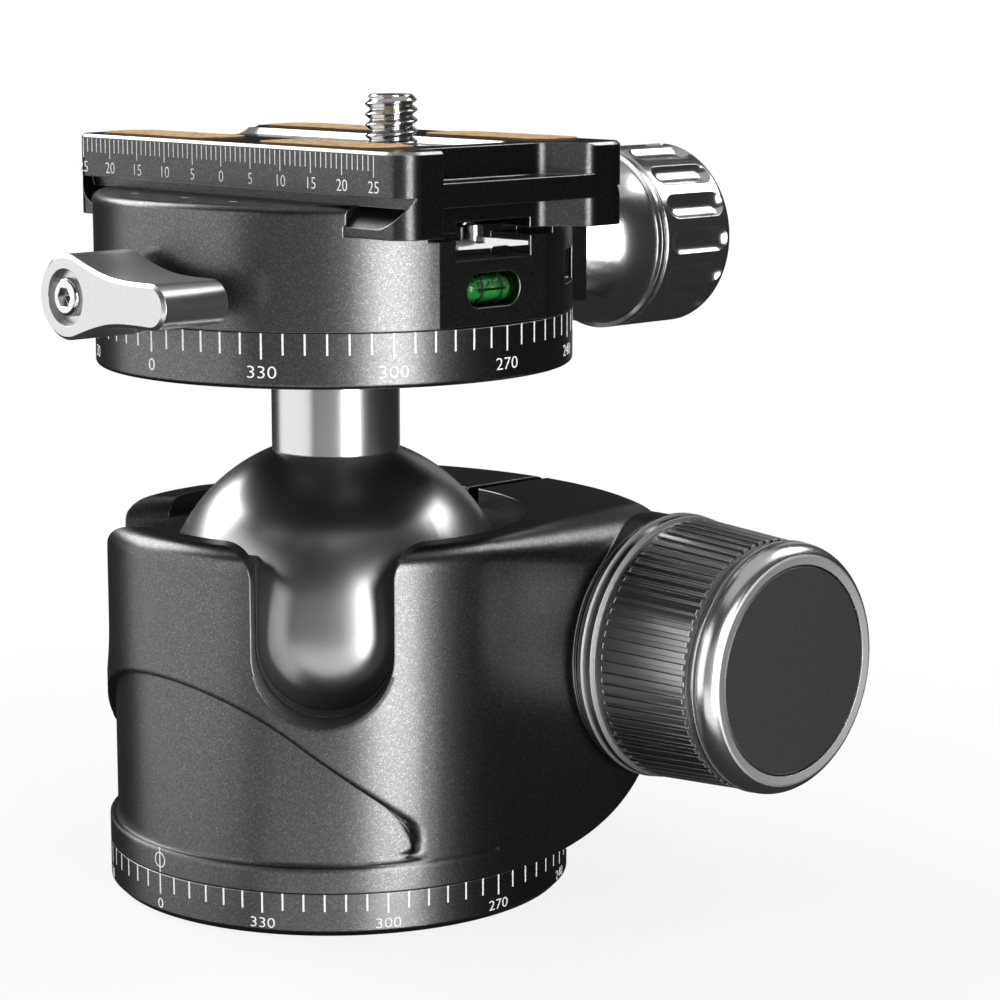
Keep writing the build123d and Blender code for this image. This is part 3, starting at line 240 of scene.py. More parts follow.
def facing(tree, axis):
    """How far a point's face points along x, y or z, in its own part's coordinates."""
    geometry = new_node(tree, "ShaderNodeNewGeometry")
    local = new_node(
        tree, "ShaderNodeVectorTransform",
        vector_type="NORMAL", convert_from="WORLD", convert_to="OBJECT",
    )
    split = new_node(tree, "ShaderNodeSeparateXYZ")
    tree.links.new(geometry.outputs["True Normal"], local.inputs[0])
    tree.links.new(local.outputs[0], split.inputs[0])
    return split.outputs[axis]


def in_band(tree, value, low, high):
    """A mask of the points whose value lies between two limits."""
    mask = use_group(tree, band, Low=low, High=high)
    tree.links.new(value, mask.inputs["Value"])
    return mask.outputs["Mask"]


def times(tree, first, second):
    """Two masks multiplied: the points that lie in both."""
    product = new_node(tree, "ShaderNodeMath", operation="MULTIPLY")
    tree.links.new(first, product.inputs[0])
    tree.links.new(second, product.inputs[1])
    return product.outputs[0]


print("helpers ready: place_axis, facing, in_band, times")

# %% [markdown]
# ## The metal finishes
# One recipe serves every metal here: a colour with grain, a paler edge colour that is a painted
# highlight, bump and roughness. What makes them differ is only their numbers. Separate materials
# built by hand would drift apart as they are adjusted. A colour Mix node keeps its sockets at
# fixed places, so those places get names first.

# %% Metal recipe
MIX_SHARE, MIX_FIRST, MIX_SECOND, MIX_RESULT = 0, 6, 7, 2


def metal(
    name, colour, edge_highlight_colour, roughness, metallic=1.0, grain_size=0.1, grain_height=0.001,
    variation=0.1, painted_glints=0.0, edge_width=0.15, edge_sharpness=4.0,
):
    """A blasted, turned or polished metal."""
    finish, tree, shader = new_finish(name)
    shader.inputs["Roughness"].default_value = roughness
    shader.inputs["Metallic"].default_value = metallic
    dimple = use_group(tree, grain, Size_mm=grain_size, Variation=variation, Sparkle=painted_glints)
    edge = use_group(tree, edges, Width_mm=edge_width, Sharpness=edge_sharpness)
    edge.name = "Edge"
    base = new_node(tree, "ShaderNodeMix", data_type="RGBA", name="Colour")
    for socket, value in (
        (MIX_SHARE, 0.0), (MIX_FIRST, (*colour, 1)), (MIX_SECOND, (*colour, 1)),
    ):
        base.inputs[socket].default_value = value
    toned = new_node(tree, "ShaderNodeVectorMath", operation="SCALE")
    # Painted highlight: the edge mask blends the paler edge colour into the base colour along
    # every edge.
    painted_edge_highlight = new_node(tree, "ShaderNodeMix", data_type="RGBA")
    painted_edge_highlight.inputs[MIX_SECOND].default_value = (*edge_highlight_colour, 1)
    bump = new_node(tree, "ShaderNodeBump", Strength=1.0, Distance=grain_height * mm)
    for start, end in (
        (base.outputs[MIX_RESULT], toned.inputs[0]),
        (dimple.outputs["ToneAndGlints"], toned.inputs["Scale"]),
        (toned.outputs[0], painted_edge_highlight.inputs[MIX_FIRST]),
        (edge.outputs["Edge"], painted_edge_highlight.inputs[MIX_SHARE]),
        (painted_edge_highlight.outputs[MIX_RESULT], shader.inputs["Base Color"]),
        (dimple.outputs["Height"], bump.inputs["Height"]),
        (edge.outputs["Normal"], bump.inputs["Normal"]),
        (bump.outputs["Normal"], shader.inputs["Normal"]),
    ):
        tree.links.new(start, end)
    return finish


print("recipe ready: metal")

# %% [markdown]
# ## A second colour on part of a metal
# A bevel that is cut after the anodising shows bare metal. Splitting the mesh there would cost a
# second material and a seam, so a mask blends a second colour into the same material instead.

# %% Overlay
def overlay(finish, mask, colour):
    """Lay a second colour over the masked region of a metal."""
    base = finish.node_tree.nodes["Colour"]
    base.inputs[MIX_SECOND].default_value = (*colour, 1)
    finish.node_tree.links.new(mask, base.inputs[MIX_SHARE])


print("recipe ready: overlay")

# %% [markdown]
# ## The metals of this head
# The body parts are blasted and anodised black, the ball is a smoother satin black, the stem is
# satin silver, the clamp knob is polished, and the fasteners are bright steel. Bearings are pale
# polymer, and the liner round the ball is dark and coarse.

# %% Make the metals
def black_metal(name, tone=0.13):
    """The blasted black of the castings, with painted glints in the colour of its grain."""
    return metal(
        name, (tone, tone, tone * 1.01), (0.5, 0.5, 0.5), 0.3,
        grain_size=0.13, grain_height=0.006,
        variation=0.45, painted_glints=0.5, edge_width=0.22, edge_sharpness=5.0,
    )


anodised = black_metal("black anodised")
satin_black = metal(
    "satin black", (0.45, 0.45, 0.45), (0.5, 0.5, 0.5), 0.27, grain_height=0.0006
)
satin_silver = metal(
    "satin silver", (0.62, 0.62, 0.63), (0.9, 0.9, 0.9), 0.26,
    grain_size=0.08, grain_height=0.0012,
)
polished = metal(
    "polished silver", (0.74, 0.74, 0.75), (0.95, 0.95, 0.95), 0.2, grain_height=0.0004
)
bright_steel = metal(
    "bright steel", (0.7, 0.7, 0.7), (0.95, 0.95, 0.95), 0.15, grain_height=0.0005
)
brass = metal("brass", (0.72, 0.5, 0.2), (0.9, 0.75, 0.4), 0.25)
polymer = metal(
    "bearing polymer", (0.75, 0.74, 0.7), (0.85, 0.85, 0.8), 0.5,
    metallic=0.0, grain_size=0.2, grain_height=0.002,
)
dark_grain = metal(
    "dark liner", (0.02, 0.02, 0.02), (0.05, 0.05, 0.05), 0.6,
    metallic=0.0, grain_size=0.25, grain_height=0.03, variation=0.9,
)
matt_black = metal(
    "matt black disc", (0.2, 0.2, 0.2), (0.3, 0.3, 0.3), 0.5, grain_height=0.002, variation=0.3
)
white_paint = metal(
    "scale paint", (0.85, 0.85, 0.85), (0.9, 0.9, 0.9), 0.5, metallic=0.0, edge_width=0.03
)
print("materials made so far:", len(bpy.data.materials))

# %% [markdown]
# ## Housing: the sunk panel
# The sunk panel at the front has a softer rim than the other edges, and its edges get no painted
# highlight. The panel's wall lies between two radii and two heights, so a mask finds it by its
# place, widens the rounding inside it and turns the painted edge highlight off there.

# %% Housing: softer edges round the sunk panel
panel_radii = (27.5 * mm, 29.3 * mm)
panel_heights = (7.2 * mm, 31.5 * mm)
sharp_width, soft_width = 0.22, 0.85
# Outside the panel the edges get the painted highlight; inside it they get none.
edge_highlight_strength, plain_edge = 5.0, 0.0
housing_metal = black_metal("housing anodised")
tree = housing_metal.node_tree
coordinates = new_node(tree, "ShaderNodeTexCoord")
flattened = new_node(tree, "ShaderNodeVectorMath", operation="MULTIPLY")
flattened.inputs[1].default_value = (1, 1, 0)
radius = new_node(tree, "ShaderNodeVectorMath", operation="LENGTH")
tree.links.new(coordinates.outputs["Object"], flattened.inputs[0])
tree.links.new(flattened.outputs[0], radius.inputs[0])
panel = times(
    tree,
    in_band(tree, radius.outputs["Value"], *panel_radii),
    in_band(tree, place_axis(tree, "Z"), *panel_heights),
)
width = new_node(tree, "ShaderNodeMapRange", To_Min=sharp_width, To_Max=soft_width)
sharpness = new_node(tree, "ShaderNodeMapRange", To_Min=edge_highlight_strength, To_Max=plain_edge)
tree.links.new(panel, width.inputs["Value"])
tree.links.new(panel, sharpness.inputs["Value"])
tree.links.new(width.outputs[0], tree.nodes["Edge"].inputs["Width mm"])
tree.links.new(sharpness.outputs[0], tree.nodes["Edge"].inputs["Sharpness"])
print("housing nodes:", len(tree.nodes))

# %% [markdown]
# ## Housing: the slit
# The housing closes on the ball because it is split at the back. The slit is sawn after the
# anodising, so its walls are bare. The mask keeps the faces that point straight to the back, over
# the width and the height of the lug.

# %% Housing: bare metal in the slit
straight_back = (0.96, 1.1)
slit_x = (5 * mm, 40 * mm)
slit_z = (2 * mm, 46.3 * mm)
slit = times(
    tree,
    in_band(tree, place_axis(tree, "Z"), *slit_z),
    times(
        tree,
        in_band(tree, facing(tree, "Y"), *straight_back),
        in_band(tree, place_axis(tree, "X"), *slit_x),
    ),
)
overlay(housing_metal, slit, (0.6, 0.6, 0.6))
print("housing nodes:", len(tree.nodes))

# %% [markdown]
# ## Plate and lever: cut bevels
# The plate's top edges and the lever's outline are bevelled after the anodising, and shine as
# thin lines. A bevel is found by its slope: its face points partly up, or partly to the front.

# %% Plate and lever: bare metal on the cut bevels
plate_bevel_slope = (0.6, 0.8)
plate_bevel_z = (90 * mm, 94 * mm)
lever_bevel_slope = (-0.85, -0.55)
plate_metal = black_metal("plate anodised", 0.08)
tree = plate_metal.node_tree
bevels = times(
    tree,
    in_band(tree, facing(tree, "Z"), *plate_bevel_slope),
    in_band(tree, place_axis(tree, "Z"), *plate_bevel_z),
)
overlay(plate_metal, bevels, (0.4, 0.4, 0.4))
lever_metal = metal(
    "satin grey", (0.62, 0.62, 0.63), (0.85, 0.85, 0.85), 0.3,
    grain_size=0.1, grain_height=0.002, edge_width=0.1,
)
tree = lever_metal.node_tree
overlay(
    lever_metal, in_band(tree, facing(tree, "Y"), *lever_bevel_slope), (0.85, 0.85, 0.85)
)
print("bevels on:", plate_metal.name, "and", lever_metal.name)

# %% [markdown]
# ## Main knob
# The knob is a grey knurled sleeve with a bright turned rim. The flat ring at its end is brushed,
# so it is rougher than the sleeve. One material does all three: a band along the axis picks the
# rim's colour, and the faces that point outwards pick the brushed roughness.

# %% Main knob: grey sleeve, bright rim
rim_x = (48.1 * mm, 52 * mm)
end_faces = (0.9, 1.1)
turned_roughness, brushed_roughness = 0.24, 0.55
knob_metal = metal(
    "gunmetal", (0.4, 0.4, 0.405), (0.8, 0.8, 0.8), turned_roughness,
    grain_size=0.06, grain_height=0.0006, edge_width=0.12,
)
tree = knob_metal.node_tree
overlay(knob_metal, in_band(tree, place_axis(tree, "X"), *rim_x), (0.85, 0.85, 0.85))
brushed = new_node(
    tree, "ShaderNodeMapRange", To_Min=turned_roughness, To_Max=brushed_roughness
)
tree.links.new(in_band(tree, facing(tree, "X"), *end_faces), brushed.inputs["Value"])
tree.links.new(brushed.outputs[0], tree.nodes["Principled BSDF"].inputs["Roughness"])
print("knob rim from x mm:", [round(x / mm, 1) for x in rim_x])

# %% [markdown]
# ## Cork
# The pads are pressed cork: pale tan on top with darker crumbs, and a much darker brown on the
# faces that don't point up. A cell pattern gives each crumb its own share of two tans, and a mask
# of the faces that point up keeps the tans there.

# %% Make the cork
crumbs_per_metre, fine_per_metre = 1400.0, 3500.0
pore_depth = 0.03 * mm
upward = (0.5, 1.1)
cork, tree, shader = new_finish("cork")
shader.inputs["Roughness"].default_value = 0.85
coordinates = new_node(tree, "ShaderNodeTexCoord")
crumbs = new_node(tree, "ShaderNodeTexVoronoi", Scale=crumbs_per_metre)
fine = new_node(tree, "ShaderNodeTexNoise", Scale=fine_per_metre, Detail=3.0)
tone = new_node(tree, "ShaderNodeSeparateColor")
mottled = new_node(tree, "ShaderNodeMix", data_type="RGBA")
mottled.inputs[MIX_FIRST].default_value = (0.45, 0.27, 0.11, 1)
mottled.inputs[MIX_SECOND].default_value = (0.80, 0.56, 0.29, 1)
darker_sides = new_node(tree, "ShaderNodeMix", data_type="RGBA")
darker_sides.inputs[MIX_FIRST].default_value = (0.16, 0.09, 0.035, 1)
share = new_node(tree, "ShaderNodeMapRange", From_Min=0.05, From_Max=0.5)
bump = new_node(tree, "ShaderNodeBump", Strength=1.0, Distance=pore_depth)
top_face = in_band(tree, facing(tree, "Z"), *upward)
for start, end in (
    (coordinates.outputs["Object"], crumbs.inputs["Vector"]),
    (coordinates.outputs["Object"], fine.inputs["Vector"]),
    (crumbs.outputs["Color"], tone.inputs[0]),
    (tone.outputs[0], share.inputs["Value"]),
    (share.outputs[0], mottled.inputs[MIX_SHARE]),
    (top_face, darker_sides.inputs[MIX_SHARE]),
    (mottled.outputs[MIX_RESULT], darker_sides.inputs[MIX_SECOND]),
    (darker_sides.outputs[MIX_RESULT], shader.inputs["Base Color"]),
    (fine.outputs[0], bump.inputs["Height"]),
    (bump.outputs["Normal"], shader.inputs["Normal"]),
):
    tree.links.new(start, end)
print("cork nodes:", len(tree.nodes))

# %% [markdown]
# ## Glass of the level
# The level is a glass vial round a green fluid. The vial is clear glass that lets light through,
# with a faint smear in its colour, because perfectly even glass looks like nothing at all.

# %% Make the glass
glass, tree, shader = new_finish("vial glass")
shader.inputs["Transmission Weight"].default_value = 1.0
shader.inputs["Roughness"].default_value = 0.02
shader.inputs["IOR"].default_value = 1.2
smear = new_node(tree, "ShaderNodeTexNoise", Scale=900.0)
clear = new_node(tree, "ShaderNodeMapRange", To_Min=0.93, To_Max=1.0)
tree.links.new(smear.outputs[0], clear.inputs["Value"])
tree.links.new(clear.outputs[0], shader.inputs["Base Color"])
print("glass nodes:", len(tree.nodes))

# %% [markdown]
# ## Fluid of the level
# The fluid is a clear-coated, glossy green body. Its colour is dark at the bottom and the top and
# brightest a quarter of the way up: bands of painted light and shade that stand in for
# refraction. Real refraction in so small a part would only cost noise.

# %% Make the fluid
fluid_low, fluid_high = 74.7 * mm, 77.9 * mm
fluid, tree, shader = new_finish("level fluid")
shader.inputs["Roughness"].default_value = 0.12
shader.inputs["Coat Weight"].default_value = 0.4
height = new_node(tree, "ShaderNodeMapRange", From_Min=fluid_low, From_Max=fluid_high)
# Painted light and shade: the green gets lighter and darker with height.
painted_light_bands = new_node(tree, "ShaderNodeValToRGB")
stops = painted_light_bands.color_ramp.elements
stops[0].color = (0.001, 0.08, 0.008, 1)
stops[1].color = (0.001, 0.10, 0.01, 1)
stops.new(0.25).color = (0.03, 0.62, 0.08, 1)
stops.new(0.5).color = (0.004, 0.34, 0.03, 1)
tree.links.new(place_axis(tree, "Z"), height.inputs["Value"])
tree.links.new(height.outputs[0], painted_light_bands.inputs[0])
tree.links.new(painted_light_bands.outputs[0], shader.inputs["Base Color"])
print("materials made so far:", len(bpy.data.materials))

# %% [markdown]
# ## Which piece gets which finish
# Every node of the frame is named once in this list, also those inside, because a cut or an
# exploded view shows them. A list is easier to check than an assignment at each material.

# %% Assign the finishes
finish_of = (
    (anodised, "pan_base upper_ring clamp_body movable_jaw pan_lock_knob"),
    (housing_metal, "housing"),
    (plate_metal, "quick_plate"),
    (satin_black, "ball"),
    (satin_silver, "stem"),
    (lever_metal, "lever"),
    (polished, "clamp_knob"),
    (knob_metal, "main_knob"),
    (matt_black, "main_knob_cap"),
    (dark_grain, "ball_liner"),
    (polymer, "pan_bearing lower_seat top_bearing"),
    (brass, "pan_lock_pad brake_pad"),
    (cork, "cork_pads"),
    (glass, "level_vial"),
    (fluid, "vial_fluid"),
    (bright_steel, "tripod_bush pan_retainer pan_retainer_screws clamp_nut pan_lock_stud"),
    (bright_steel, "stem_bolt clamp_retainer clamp_retainer_screws lever_stud lever_screw"),
    (bright_steel, "jaw_guide_pins clamp_screw safety_pin catch_leaf screw_washer"),
    (bright_steel, "camera_screw thrust_washer main_screw"),
)


def dress(node_name, finish):
    """Give a CAD node its finish."""
    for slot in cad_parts[node_name].material_slots:
        slot.material = finish


dressed = []
for finish, names in finish_of:
    for node_name in names.split():
        dress(node_name, finish)
        dressed.append(node_name)
print("nodes dressed:", len(dressed), "left over:", set(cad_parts) - set(dressed))

# %% [markdown]
# ## New pieces
# A piece made here has to move with a body of the frame. These two helpers close a form into a
# mesh with its faces outwards, and put a mesh into the scene, riding on its body.

# %% Piece helpers
weld_distance = 1e-7


def add_piece(name, mesh, finish, body):
    """Put a mesh into the scene, riding on a body."""
    piece = bpy.data.objects.new(name, mesh)
    bpy.context.scene.collection.objects.link(piece)
    mesh.materials.clear()
    mesh.materials.append(finish)
    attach(piece, body)
    return piece


def close_form(form, name):
    """Turn a finished form into a mesh with outward faces."""
    bmesh.ops.remove_doubles(form, verts=form.verts, dist=weld_distance)
    bmesh.ops.recalc_face_normals(form, faces=form.faces)
    mesh = bpy.data.meshes.new(name)
    form.to_mesh(mesh)
    form.free()
    return mesh


print("helpers ready: add_piece, close_form")

# %% [markdown]
# ## Ticks
# The degree scales are cut into the metal and filled with white paint. Thin solids of paint,
# let into the wall and standing 0.02 mm proud, stay crisp at any distance, where a painted
# texture would blur. A tick is a small box, and a bend function lays it on its surface.

# %% Tick helper
paint_in = 0.05 * mm
paint_out = 0.02 * mm
tick_parts = 2


def tick_box(form, x0, x1, z0, z1, bend):
    """A thin solid between two widths and two heights, bent by a function."""
    corners = []
    for i in range(tick_parts + 1):
        x = x0 + (x1 - x0) * i / tick_parts
        for depth in (-paint_in, paint_out):
            for z in (z0, z1):
                corners.append(form.verts.new(bend(x, depth, z)))
    for i in range(tick_parts):
        here = corners[4 * i : 4 * i + 4]
        there = corners[4 * i + 4 : 4 * i + 8]
        for j, k in ((0, 1), (1, 3), (3, 2), (2, 0)):
            form.faces.new((here[j], here[k], there[k], there[j]))
    form.faces.new((corners[0], corners[2], corners[3], corners[1]))
    last = corners[-4:]
    form.faces.new((last[1], last[3], last[2], last[0]))


def around(radius, azimuth):
    """A bend that lays x along the arc of a cylinder about the pan axis, from an azimuth."""
    def bend(x, depth, z):
        angle = radians(azimuth) + x / radius
        return Vector(((radius + depth) * cos(angle), (radius + depth) * sin(angle), z))
    return bend


print("paint stands proud by", paint_out / mm, "mm")

# %% [markdown]
# ## Numbers
# The numbers are text turned into mesh and bent the same way as the ticks. A digit fills 0.72 of
# the font's size, and its outline is drawn in a little, because an engraver's stroke is thin.

# %% Number helpers
digit_share = 0.72
thin_stroke = -0.012
curve_steps = 3


def text_mesh(words, height):
    """A word as a flat mesh with a thin extrusion, centred on x, standing on z = 0."""
    curve = bpy.data.curves.new("words", "FONT")
    curve.body = words
    curve.size = height / digit_share
    curve.align_x = "CENTER"
    curve.resolution_u = curve_steps
    curve.offset = thin_stroke * height
    curve.extrude = (paint_in + paint_out) / 2
    holder = bpy.data.objects.new("words", curve)
    bpy.context.scene.collection.objects.link(holder)
    bpy.context.view_layer.update()
    shaped = holder.evaluated_get(bpy.context.evaluated_depsgraph_get())
    mesh = bpy.data.meshes.new_from_object(shaped)
    bpy.data.objects.remove(holder)
    return mesh


def add_text(form, words, height, x, z, bend, stretch=1.0):
    """Bend a word onto its surface and add it to the form."""
    mesh = text_mesh(words, height)
    for vertex in mesh.vertices:
        px, py, pz = vertex.co
        depth = pz + (paint_out - paint_in) / 2
        vertex.co = bend(x + px * stretch, depth, z + py)
    form.from_mesh(mesh)
    bpy.data.meshes.remove(mesh)


print("helpers ready: text_mesh, add_text")

# %% [markdown]
# ## Scales of the two pans
# Both rings carry a tick every 5 degrees and a number every 30, counted clockwise. The same
# function makes both, at the radius that the frame gives for each ring.

# %% Ring scales
full_turn, tick_turn, number_turn = 360, 5, 30
digit_stretch = 1.22


def ring_scale(name, radius, zero, top, tick, tick_long, tick_width, digits, digits_z, body):
    """Ticks and numbers round a ring, counted clockwise from the zero."""
    form = bmesh.new()
    for turn in range(0, full_turn, tick_turn):
        length = tick_long if turn % number_turn == 0 else tick
        bend = around(radius, zero + turn)
        tick_box(form, -tick_width / 2, tick_width / 2, top - length, top, bend)
    for turn in range(0, full_turn, number_turn):
        number = (full_turn - turn) % full_turn
        bend = around(radius, zero + turn)
        add_text(form, str(number), digits, 0, digits_z, bend, digit_stretch)
    return add_piece(name, close_form(form, name), white_paint, body)


base_scale = ring_scale(
    "base_scale", radius=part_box("pan_base")[1][0], zero=-90, top=5.3 * mm,
    tick=2.1 * mm, tick_long=2.5 * mm, tick_width=0.23 * mm,
    digits=1.3 * mm, digits_z=1.0 * mm, body="base",
)
top_scale = ring_scale(
    "top_scale", radius=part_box("upper_ring")[1][0], zero=-88.1, top=72.1 * mm,
    tick=2.5 * mm, tick_long=3.0 * mm, tick_width=0.24 * mm,
    digits=1.5 * mm, digits_z=66.9 * mm, body="head",
)
print("scale faces:", len(base_scale.data.polygons), len(top_scale.data.polygons))

# %% [markdown]
# ## Index mark
# The housing has one line with a small ring on it, against which the base scale is read. The ring
# is a closed band of paint, made from short pieces side by side and bent like the ticks.

# %% Index mark of the housing
foot_radius = 29.0 * mm
index_radius = 0.9 * mm
index_z = 7.05 * mm
index_low, index_high = 5.5 * mm, 8.6 * mm
line_half, ring_half = 0.08 * mm, 0.07 * mm
ring_steps = 32
form = bmesh.new()
bend = around(foot_radius, -90)
tick_box(form, -line_half, line_half, index_low, index_high, bend)
for step in range(ring_steps):
    corners = []
    for turn in (step, step + 1):
        angle = 2 * pi * turn / ring_steps
        for r in (index_radius - ring_half, index_radius + ring_half):
            for depth in (-paint_in, paint_out):
                point = bend(r * cos(angle), depth, index_z + r * sin(angle))
                corners.append(form.verts.new(point))
    a, b, c, d, e, f, g, h = corners
    for quad in ((a, b, f, e), (b, d, h, f), (d, c, g, h), (c, a, e, g)):
        form.faces.new(quad)
index = add_piece("index_mark", close_form(form, "index_mark"), white_paint, "housing")
print("index mark faces:", len(index.data.polygons))

# %% [markdown]
# ## Plate scale
# The plate's front is flat, so its scale needs no bending, only a turn onto the face. It runs 25
# units to each side of a zero, with six ticks to each 5 units.

# %% Plate scale
plate_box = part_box("quick_plate")
plate_front = plate_box[0][1]
plate_top = plate_box[1][2]
scale_zero = 0.98 * mm
units_per_number, ticks_per_number, numbers_each_side = 5, 6, 5
unit_length = 1.0786
scale_step = unit_length * units_per_number / ticks_per_number * mm
plate_tick_half = 0.06 * mm
plate_tick, plate_tick_long = 1.7 * mm, 2.4 * mm
plate_tick_top = plate_top - 0.5 * mm
plate_digits = 1.43 * mm
plate_digits_z = plate_top - 4.7 * mm


def on_front(x, depth, z):
    """A bend for the plate's front face, which is flat and faces -Y."""
    return Vector((x, plate_front - depth, z))


form = bmesh.new()
end_tick = numbers_each_side * ticks_per_number
for step in range(-end_tick, end_tick + 1):
    x = scale_zero + step * scale_step
    length = plate_tick_long if step % ticks_per_number == 0 else plate_tick
    low = plate_tick_top - length
    tick_box(form, x - plate_tick_half, x + plate_tick_half, low, plate_tick_top, on_front)
for count in range(-numbers_each_side, numbers_each_side + 1):
    number = str(abs(count) * units_per_number)
    x = scale_zero + count * ticks_per_number * scale_step
    add_text(form, number, plate_digits, x, plate_digits_z, on_front)
plate_scale = add_piece("plate_scale", close_form(form, "plate_scale"), white_paint, "plate")
print("plate scale faces:", len(plate_scale.data.polygons))

# %% [markdown]
# ## Marks on the fixed jaw
# Three short painted ticks lie on the flat top of the fixed jaw, just in front of the plate. They
# are the same boxes as the other ticks, laid flat by another bend.

# %% Marks on the fixed jaw
jaw_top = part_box("clamp_body")[1][2]
jaw_mark_x = (-10, -0.5, 8.5)
jaw_mark_half = 0.6
jaw_mark_front, jaw_mark_back = -23.1 * mm, -22.9 * mm


def on_jaw(x, depth, y):
    """A bend for the jaw's top face, which is flat and faces up."""
    return Vector((x, y, jaw_top + depth))


form = bmesh.new()
for x in jaw_mark_x:
    left, right = (x - jaw_mark_half) * mm, (x + jaw_mark_half) * mm
    tick_box(form, left, right, jaw_mark_front, jaw_mark_back, on_jaw)
add_piece("jaw_marks", close_form(form, "jaw_marks"), white_paint, "clamp")
print("jaw marks:", len(jaw_mark_x))

# %% [markdown]
# ## Camera screw
# The screw that holds the camera has a real thread: a quarter inch across, with 20 turns to the
# inch. A bump in a material would leave a smooth outline, so the thread is geometry. Its surface
# is a grid of rings, and each point's radius follows a V that climbs one pitch per turn. The
# thread fades out below, and the tip is chamfered.

# %% Sizes of the screw and its thread
screw_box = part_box("camera_screw")
screw_x = (screw_box[0][0] + screw_box[1][0]) / 2
screw_low, screw_high = screw_box[0][2], screw_box[1][2]
head_radius = (screw_box[1][0] - screw_box[0][0]) / 2
head_top = screw_low + 3.6 * mm
head_break = 0.2 * mm
shank_radius, thread_radius = 2.6 * mm, 3.175 * mm
thread_low = 92.3 * mm
pitch = 1.27 * mm
thread_depth = 0.62 * mm
groove_slope, crest_width = 1.25, 0.12
fade_in = 0.6 * pitch
tip_height, tip_slope = 0.7 * mm, 0.9
points_round = 64
thread_rows = 64


def thread_surface(z, turn):
    """Radius of the thread at a height and a share of a turn."""
    phase = (z / pitch - turn) % 1.0
    groove = min(1.0, max(0.0, groove_slope * (1 - abs(2 * phase - 1)) - crest_width))
    start = min(1.0, (z - thread_low) / fade_in)
    tip = max(0.0, z - (screw_high - tip_height))
    return min(thread_radius - start * thread_depth * groove, thread_radius - tip * tip_slope)


print("turns of thread:", round((screw_high - thread_low) / pitch, 1))

# %% [markdown]
# ## Turning the screw
# The rows run from the underside of the head up to the tip, each with its height and radius. A
# row without a radius takes it from the thread. Faces between neighbouring rows and a cap at each
# end close the body.

# %% Turn the screw
rows = [(screw_low, head_radius - head_break), (screw_low + head_break, head_radius)]
rows += [(head_top, head_radius), (head_top, shank_radius), (thread_low, shank_radius)]
for step in range(thread_rows + 1):
    rows.append((thread_low + (screw_high - thread_low) * step / thread_rows, None))
form = bmesh.new()
rings = []
for z, radius in rows:
    ring = []
    for step in range(points_round):
        turn = step / points_round
        r = thread_surface(z, turn) if radius is None else radius
        ring.append(form.verts.new((screw_x + r * cos(2 * pi * turn), r * sin(2 * pi * turn), z)))
    rings.append(ring)
for lower, upper in zip(rings, rings[1:]):
    for step in range(points_round):
        after = (step + 1) % points_round
        form.faces.new((lower[step], lower[after], upper[after], upper[step]))
form.faces.new(list(reversed(rings[0])))
form.faces.new(rings[-1])
screw_body = bpy.data.objects.new("screw_body", close_form(form, "screw_body"))
print("screw corners before the slot:", len(screw_body.data.vertices))

# %% [markdown]
# ## Slot of the screw
# A coin turns the screw by a slot under its head. A Boolean with a box cuts it, which keeps the
# thread's faces as they are. The result replaces the plain screw of the frame.

# %% Cut the slot
slot_length, slot_width, slot_height = 16, 1.6, 2.4
form = bmesh.new()
bmesh.ops.create_cube(form, size=1.0)
for vertex in form.verts:
    x, y, z = vertex.co
    vertex.co = Vector(
        (x * slot_length * mm + screw_x, y * slot_width * mm, z * slot_height * mm + screw_low)
    )
slot_cutter = bpy.data.objects.new("slot_cutter", close_form(form, "slot_cutter"))
for part in (screw_body, slot_cutter):
    bpy.context.scene.collection.objects.link(part)
cut = screw_body.modifiers.new("slot", "BOOLEAN")
cut.object = slot_cutter
cut.operation = "DIFFERENCE"
bpy.context.view_layer.update()
shaped = screw_body.evaluated_get(bpy.context.evaluated_depsgraph_get())
cut_mesh = bpy.data.meshes.new_from_object(shaped)
cut_mesh.name = "threaded_screw"
for part in (screw_body, slot_cutter):
    bpy.data.objects.remove(part)
threaded = add_piece("threaded_screw", cut_mesh, bright_steel, "camera_screw")
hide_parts("camera_screw")
print("screw corners with the slot:", len(cut_mesh.vertices))

# %% [markdown]
# ## Catch leaf
# The safety pin stands on a pressed spring leaf. It is a thin sheet with an upturned front edge
# that rises behind the pin and has a small relief underneath. Its outline is no box, so both
# parts are closed slabs between two outlines. The lower edge stays above the floor of the notch
# when the pin is pressed.

# %% Pressed leaf
leaf_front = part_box("catch_leaf")[1][0]
leaf_edge_thick = 0.45 * mm
leaf_sheet_low, leaf_sheet_high = 81.2 * mm, 81.65 * mm
edge_outline = (
    (-5.4, 81.2), (0.1, 81.12), (0.3, 81.5), (2.0, 81.4), (3.1, 81.14), (6.0, 81.12),
    (6.0, 81.6), (-1.1, 82.4), (-1.1, 81.75), (-5.4, 81.55),
)
sheet_outline = ((22.2, -5.4), (27.2, -5.4), (27.2, 6.0), (22.2, 6.0))


def slab(form, front, back):
    """A closed prism between two outlines with as many corners."""
    near = [form.verts.new(point) for point in front]
    far = [form.verts.new(point) for point in back]
    form.faces.new(near)
    form.faces.new(list(reversed(far)))
    for step in range(len(near)):
        after = (step + 1) % len(near)
        form.faces.new((near[step], far[step], far[after], near[after]))


